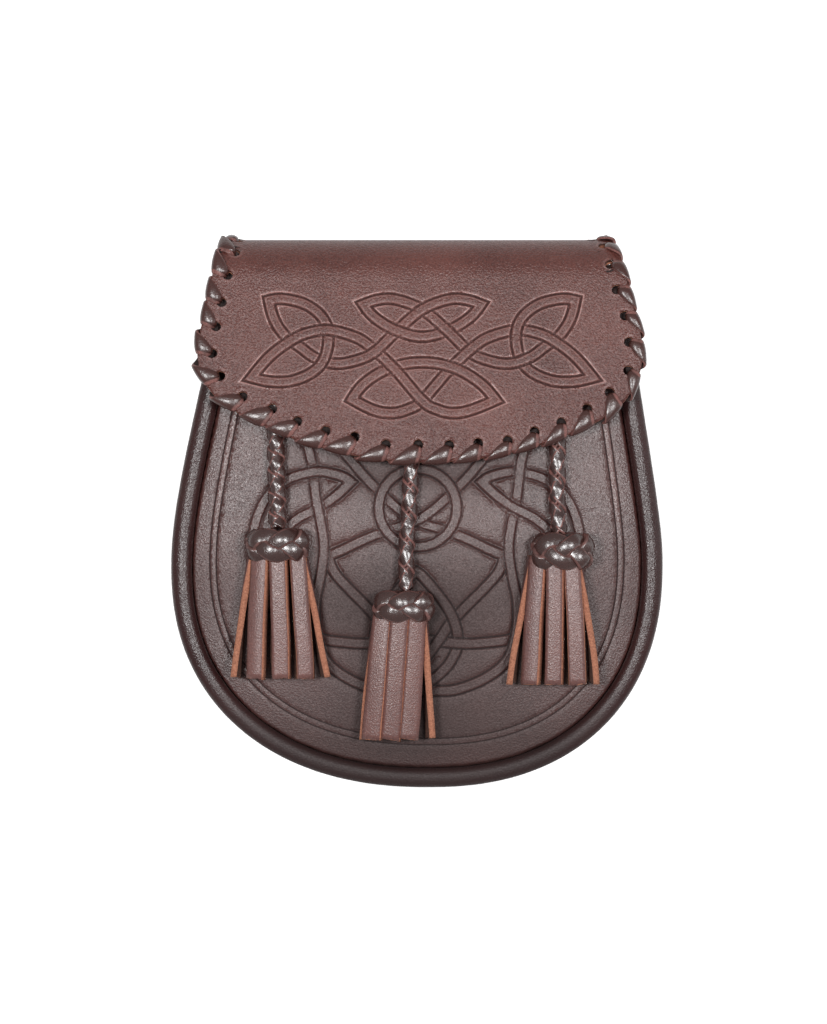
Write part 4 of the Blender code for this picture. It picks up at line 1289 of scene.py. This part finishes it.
def laceTurnMesh():
    forward, backward = (smoothLine(laceTurn[key], 3) for key in ("forward", "backward"))
    middle = (forward + backward) / 2
    tangents = headings(middle)
    across = backward - forward
    width = np.linalg.norm(across, axis=1)[:, None]
    ups = unit(np.cross(tangents, across / width))
    ups *= np.where((ups * unit(middle - laceTurn["heart"])).sum(1) < 0, -1, 1)[:, None]
    rings = np.empty((len(middle), len(laceRow), 3))
    for j, (kind, offset, up, puff, _) in enumerate(laceRow):
        share = offset if kind == "m" else np.minimum(offset / width, laceTurn["borderShare"])
        share = 1 - share if kind == "b" else share
        swell = laceTurn["puff"] * smoothstep(laceTurn["puffFrom"], laceTurn["puffFull"], width)
        rings[:, j] = forward + across * share + ups * (up + puff * swell)
    # painted shade: the first rows, inside the hole, and the last rows, under the edge, are darker
    hidden = np.zeros(len(middle))
    hidden[:len(laceTurn["paintedShadeFirst"])] = laceTurn["paintedShadeFirst"]
    hidden[-laceTurn["paintedShadeLast"]:] = 1
    raw = np.array([row[4] for row in laceRow]) * (1 - hidden)[:, None]
    turn = newPiece("laceTurn", rings.reshape(-1, 3), ringFaces(len(middle), len(laceRow)), leathers["lace"],
                    {"raw": raw.ravel(), "paintedShadeAndWear": np.repeat(hidden, len(laceRow))})
    turnOutwards(turn)
    return turn


def laceTree():
    tree, given = geometryTree("laceAlongEdge", {
        "Turn": "Object", "Tilt": "Float", "Uneven": "Float", "Seed": "Int", "Leather": "Material"})
    spin = randomBetween(tree, mathNode(tree, "MULTIPLY", given["Tilt"], -1.0), given["Tilt"], given["Seed"])
    turned = addNode(tree, "FunctionNodeRotateRotation", {
        "Rotation": facing(tree, "back"), "Rotate By": combined(tree, Z=spin)}, rotation_space="LOCAL").outputs[0]
    least, most = (mathNode(tree, operation, 1.0, given["Uneven"]) for operation in ("SUBTRACT", "ADD"))
    swell = combined(tree, X=1.0, Y=1.0, Z=randomBetween(tree, least, most, given["Seed"]))
    size = vectorNode(tree, "MULTIPLY", {0: named(tree, "stretch", "FLOAT_VECTOR"), 1: swell})[0]
    shape = addNode(tree, "GeometryNodeObjectInfo", {"Object": given["Turn"]}).outputs["Geometry"]
    treeEnds(tree, alongPoints(tree, given["Geometry"], shape, turned, size), given["Leather"])
    return tree


def makeLacing():
    flat, heads, pitches, reaches = (np.array(column) for column in zip(*holes))
    face = np.zeros(len(flat))
    places = placeFlap(flat, face)
    back = unit(placeFlap(flat - heads * 0.5, face) - placeFlap(flat + heads * 0.5, face))
    up = unit(placeFlap(flat, face - 1) - places)
    stretch = np.column_stack([pitches / laceTurn["pitch"], reaches / laceTurn["reach"], np.ones(len(flat))])
    turn = laceTurnMesh()
    lace = runTree(laceTree(), "edgeLacing", places, [], {"back": back, "up": up, "stretch": stretch}, {
        "Turn": turn, "Tilt": math.radians(laceTurn["tilt"]), "Uneven": laceTurn["uneven"],
        "Seed": laceTurn["seed"], "Leather": leathers["lace"]})
    bpy.data.objects.remove(turn)
    return lace


finishPiece(makeLacing(), "lace_leather", "flap_lacing")
print("lacing made:", len(holes), "turns")


# the rolled bead: a tree sweeps a round section along the edge and wrinkles it across

bead = {
    "radius": 3.2, "radiusLow": 2.9, "height": 33.1, "taperY": -20, "corners": 30, "lean": 0.42, "step": 0.55,
    # how high, and how often along and round the bead
    "wrinkle": 0.12, "wrinkleScale": (1.0, 1.3), "lump": 0.14, "lumpScale": (0.14, 0.9),
    # painted shade: the bead is darker towards the bottom, growing between the two heights
    "paintedShade": 0.7, "paintedShadeFrom": -50, "paintedShadeTo": -92,
}


def beadTree():
    tree, given = geometryTree("beadAlongEdge", {
        "Corners": "Int", "Lean": "Float", "Wrinkle": "Float", "Lump": "Float", "Leather": "Material"})
    here = addNode(tree, "GeometryNodeInputPosition").outputs[0]
    line = stored(tree, given["Geometry"], "middle", here, "FLOAT_VECTOR")
    curve = addNode(tree, "GeometryNodeMeshToCurve", {"Mesh": line}).outputs[0]
    circle = addNode(tree, "GeometryNodeCurvePrimitiveCircle", {"Resolution": given["Corners"], "Radius": mm})
    share = addNode(tree, "GeometryNodeSplineParameter").outputs[0]
    turn = mathNode(tree, "SINE", mathNode(tree, "MULTIPLY", share, math.pi))
    section = stored(tree, circle.outputs["Curve"], "around", turn)
    tube = addNode(tree, "GeometryNodeCurveToMesh", {
        "Curve": curve, "Profile Curve": section, "Scale": named(tree, "beadRadius"), "Fill Caps": True})

    def unevenness(scale, height, **noise):
        x, y = (mathNode(tree, "MULTIPLY", named(tree, key), often) for key, often in zip(("run", "around"), scale))
        made = addNode(tree, "ShaderNodeTexNoise", {"Vector": combined(tree, X=x, Y=y), "Scale": 1.0, **noise})
        return mathNode(tree, "MULTIPLY", mathNode(tree, "SUBTRACT", made.outputs["Fac"], 0.5), height)

    wrinkles = unevenness(bead["wrinkleScale"], given["Wrinkle"], Detail=3, Roughness=0.55)
    push = mathNode(tree, "ADD", wrinkles, unevenness(bead["lumpScale"], given["Lump"], Detail=2))
    # the half that faces outwards is wider than the half beside the panel
    outwards = named(tree, "outwards", "FLOAT_VECTOR")
    reach = vectorNode(tree, "SUBTRACT", {0: here, 1: named(tree, "middle", "FLOAT_VECTOR")})[0]
    along = vectorNode(tree, "DOT_PRODUCT", {0: reach, 1: outwards})["Value"]
    wider = mathNode(tree, "MULTIPLY", mathNode(tree, "MAXIMUM", along, 0.0), given["Lean"])
    leaning = vectorNode(tree, "SCALE", {0: outwards, "Scale": wider})[0]
    leant = addNode(tree, "GeometryNodeSetPosition", {"Geometry": tube.outputs[0], "Offset": leaning})
    normal = addNode(tree, "GeometryNodeInputNormal").outputs[0]
    offset = vectorNode(tree, "SCALE", {0: normal, "Scale": push})[0]
    moved = addNode(tree, "GeometryNodeSetPosition", {"Geometry": leant.outputs[0], "Offset": offset})
    treeEnds(tree, moved.outputs[0], given["Leather"])
    return tree


def makeBead():
    line = bodyOutline(bead["radius"] * (1 + bead["lean"]), pouch["topY"], bead["step"])
    low = np.clip((bead["taperY"] - line[:, 1]) / (bead["taperY"] - pouch["bottomY"]), 0, 1)
    radius = bead["radius"] + (bead["radiusLow"] - bead["radius"]) * low
    outwards = np.column_stack([-leftOf(headings(line)), np.zeros(len(line))])
    # where the bead is thinner it moves out, so that its outer side stays on the pouch's edge
    shift = outwards * ((bead["radius"] - radius) * (1 + bead["lean"]))[:, None]
    points = np.column_stack([line, np.full(len(line), bead["height"])]) + shift
    run = runAlong(line)
    edges = [(i, i + 1) for i in range(len(line) - 1)]
    # painted shade, darker along the bottom of the bead
    shade = bead["paintedShade"] * smoothstep(bead["paintedShadeFrom"], bead["paintedShadeTo"], line[:, 1])
    attributes = {"beadRadius": radius, "run": run, "outwards": outwards, "paintedShadeAndWear": shade}
    return runTree(beadTree(), "rolledBead", points, edges, attributes, {
        "Corners": bead["corners"], "Lean": bead["lean"], "Wrinkle": bead["wrinkle"] * mm,
        "Lump": bead["lump"] * mm, "Leather": leathers["piping"]})


finishPiece(makeBead(), "piping_leather", "edge_piping")
print("bead made")


# stitches: a tree sets a short thread at each point, lying along its row

stitch = {"pitch": 3.4, "length": 2.5, "width": 0.75, "height": 0.62}


def stitchTree():
    tree, given = geometryTree("stitchRow", {
        "Length": "Float", "Width": "Float", "Height": "Float", "Thread": "Material"})
    bit = addNode(tree, "GeometryNodeMeshUVSphere", {"Segments": 8, "Rings": 6, "Radius": 0.5}).outputs["Mesh"]
    size = combined(tree, X=given["Length"], Y=given["Width"], Z=given["Height"])
    treeEnds(tree, alongPoints(tree, given["Geometry"], bit, facing(tree, "head"), size), given["Thread"])
    return tree


def stitchRows(name, rows, up):
    # each row is a line in space; up is the direction that its leather faces
    lines = [evenly(np.asarray(row, float), stitch["pitch"]) for row in rows]
    places = np.concatenate([(line[1:] + line[:-1]) / 2 for line in lines])
    heads = np.concatenate([unit(np.diff(line, axis=0)) for line in lines])
    ups = np.tile(np.asarray(up, float), (len(places), 1))
    return runTree(stitchTree(), name, places, [], {"head": heads, "up": ups}, {
        "Length": stitch["length"] * mm, "Width": stitch["width"] * mm, "Height": stitch["height"] * mm,
        "Thread": plains["waxedThread"]})


# the wall between front and back, which sinks in halfway up, with soft folds along it
gusset = {
    "inset": 2.9, "sink": 3.5, "thickness": 2, "topY": 81, "topZ": 31.2, "clear": 2.8, "levels": 14, "fold": 0.5,
    "foldLength": 34, "seed": 3,
}


def makeGusset():
    outline = bodyOutline(0, gusset["topY"], 1.6)
    inward = leftOf(headings(outline))
    run = runAlong(outline)
    fold = gusset["fold"] * wave(run, gusset["foldLength"], np.random.default_rng(gusset["seed"]))
    share = np.linspace(0, 1, gusset["levels"])
    share = np.concatenate([share, share[::-1]])
    depth = np.repeat([0, gusset["thickness"]], gusset["levels"])
    rings = []
    for point, normal, sway in zip(outline, inward, fold):
        low = backHeight(point[1]) + gusset["clear"]
        inset = gusset["inset"] + (gusset["sink"] + sway) * np.sin(math.pi * share) + depth
        z = low + (gusset["topZ"] - low) * share
        rings.append(np.column_stack([point + normal * inset[:, None], z]))
    return newPiece("sideWall", np.concatenate(rings), ringFaces(len(rings), len(share)), leathers["gusset"])


finishPiece(makeGusset(), "gusset_leather", "gusset")


# the back, its two belt keepers and the seams there
keeper = {
    "x": 38, "width": 22, "thickness": 2.2, "ends": (5, 63), "flange": 8.5, "ramp": 5, "gap": 0.3,
    "seam": 2.4, "seamInner": 0.8, "endWidth": 0.975, "endThickness": 0.8, "step": 0.5, "soften": 3,
}
backSeam = {"inset": 6.5, "below": 3, "tailAlong": (4, 12), "tailHalf": 64}
strapSection = np.array([
    (-0.5, -0.25), (-0.5, 0.25), (-0.485, 0.42), (-0.45, 0.5), (-0.2, 0.52), (0, 0.53), (0.2, 0.52), (0.45, 0.5),
    (0.485, 0.42), (0.5, 0.25), (0.5, -0.25), (0.485, -0.42), (0.45, -0.5), (0.2, -0.5), (0, -0.5), (-0.2, -0.5),
    (-0.45, -0.5), (-0.485, -0.42),
])


def makeBack():
    loop = closedAcross(bodyOutline(pouch["backInset"], pouch["backTop"], 1.6), 80)

    def relief(flat, _):
        return np.zeros(len(flat)), np.zeros(len(flat))

    def place(flat, depth):
        return np.column_stack([flat, backHeight(flat[:, 1]) + depth])

    # a sheet wants at least one fine point
    return leatherSheet("backPanel", [loop], loop[:1] + [5, -5], 3.2, pouch["backThickness"], place, relief,
                        leathers["back"], rounding=0.7)


def makeKeeper(side, name):
    low, high = keeper["ends"]
    flange, ramp, half = keeper["flange"], keeper["ramp"], keeper["thickness"] / 2

    def flangeZ(y):
        return backHeight(y) - keeper["gap"] - half

    corners = [(low, flangeZ(low)), (low + flange, flangeZ(low + flange)), (low + flange + ramp, half),
               (high - flange - ramp, half), (high - flange, flangeZ(high - flange)), (high, flangeZ(high))]
    line = evenly(np.array(corners), keeper["step"])
    soft, near = line.copy(), keeper["soften"]
    for i in range(near, len(line) - near):
        soft[i] = line[i - near:i + near + 1].mean(0)
    path = np.column_stack([np.full(len(soft), side * keeper["x"]), soft])
    width, thickness = np.full(len(path), float(keeper["width"])), np.full(len(path), keeper["thickness"])
    width[[0, -1]] *= keeper["endWidth"]
    thickness[[0, -1]] *= keeper["endThickness"]
    rings = sweepRings(path, np.tile([0, 0, -1.0], (len(path), 1)), strapSection, width, thickness)
    return newPiece("keeper_" + name, rings.reshape(-1, 3), ringFaces(len(path), len(strapSection)), leathers["back"])


def keeperSeams(side):
    # a stitched box on each flange
    rows = []
    low, high = keeper["ends"]
    half = keeper["width"] / 2 - keeper["seam"]
    for start, end in ((low, low + keeper["flange"]), (high - keeper["flange"], high)):
        near, far = start + keeper["seam"], end - keeper["seamInner"]
        corners = [(-half, near), (half, near), (half, far), (-half, far), (-half, near)]
        x, y = np.array(corners).T
        line = np.column_stack([side * keeper["x"] + x, y, backHeight(y) - keeper["gap"] - keeper["thickness"]])
        rows += list(zip(line, line[1:]))
    return rows


def tailSeams():
    # two rows that sew the flap's tail to the back
    across = np.linspace(-backSeam["tailHalf"], backSeam["tailHalf"], 60)
    return [placeFlap(np.column_stack([across, np.full(60, along)]), np.zeros(60)) for along in backSeam["tailAlong"]]


finishPiece(makeBack(), "back_leather", "back_panel")
edgeSeam = bodyOutline(backSeam["inset"], pouch["backTop"] - backSeam["below"], 2)
seams = [np.column_stack([edgeSeam, backHeight(edgeSeam[:, 1])])] + tailSeams()
for side, name in ((-1, "left"), (1, "right")):
    finishPiece(makeKeeper(side, name), "back_leather", "strap_loop_" + name)
    seams += keeperSeams(side)
finishPiece(stitchRows("backStitches", seams, (0, 0, -1)), "back_leather", "back_panel")
# the closing stud keeps the model's own shape
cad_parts["closure_stud"].data.materials[0] = plains["agedBrass"]
print("side wall, back, keepers and stitches made")
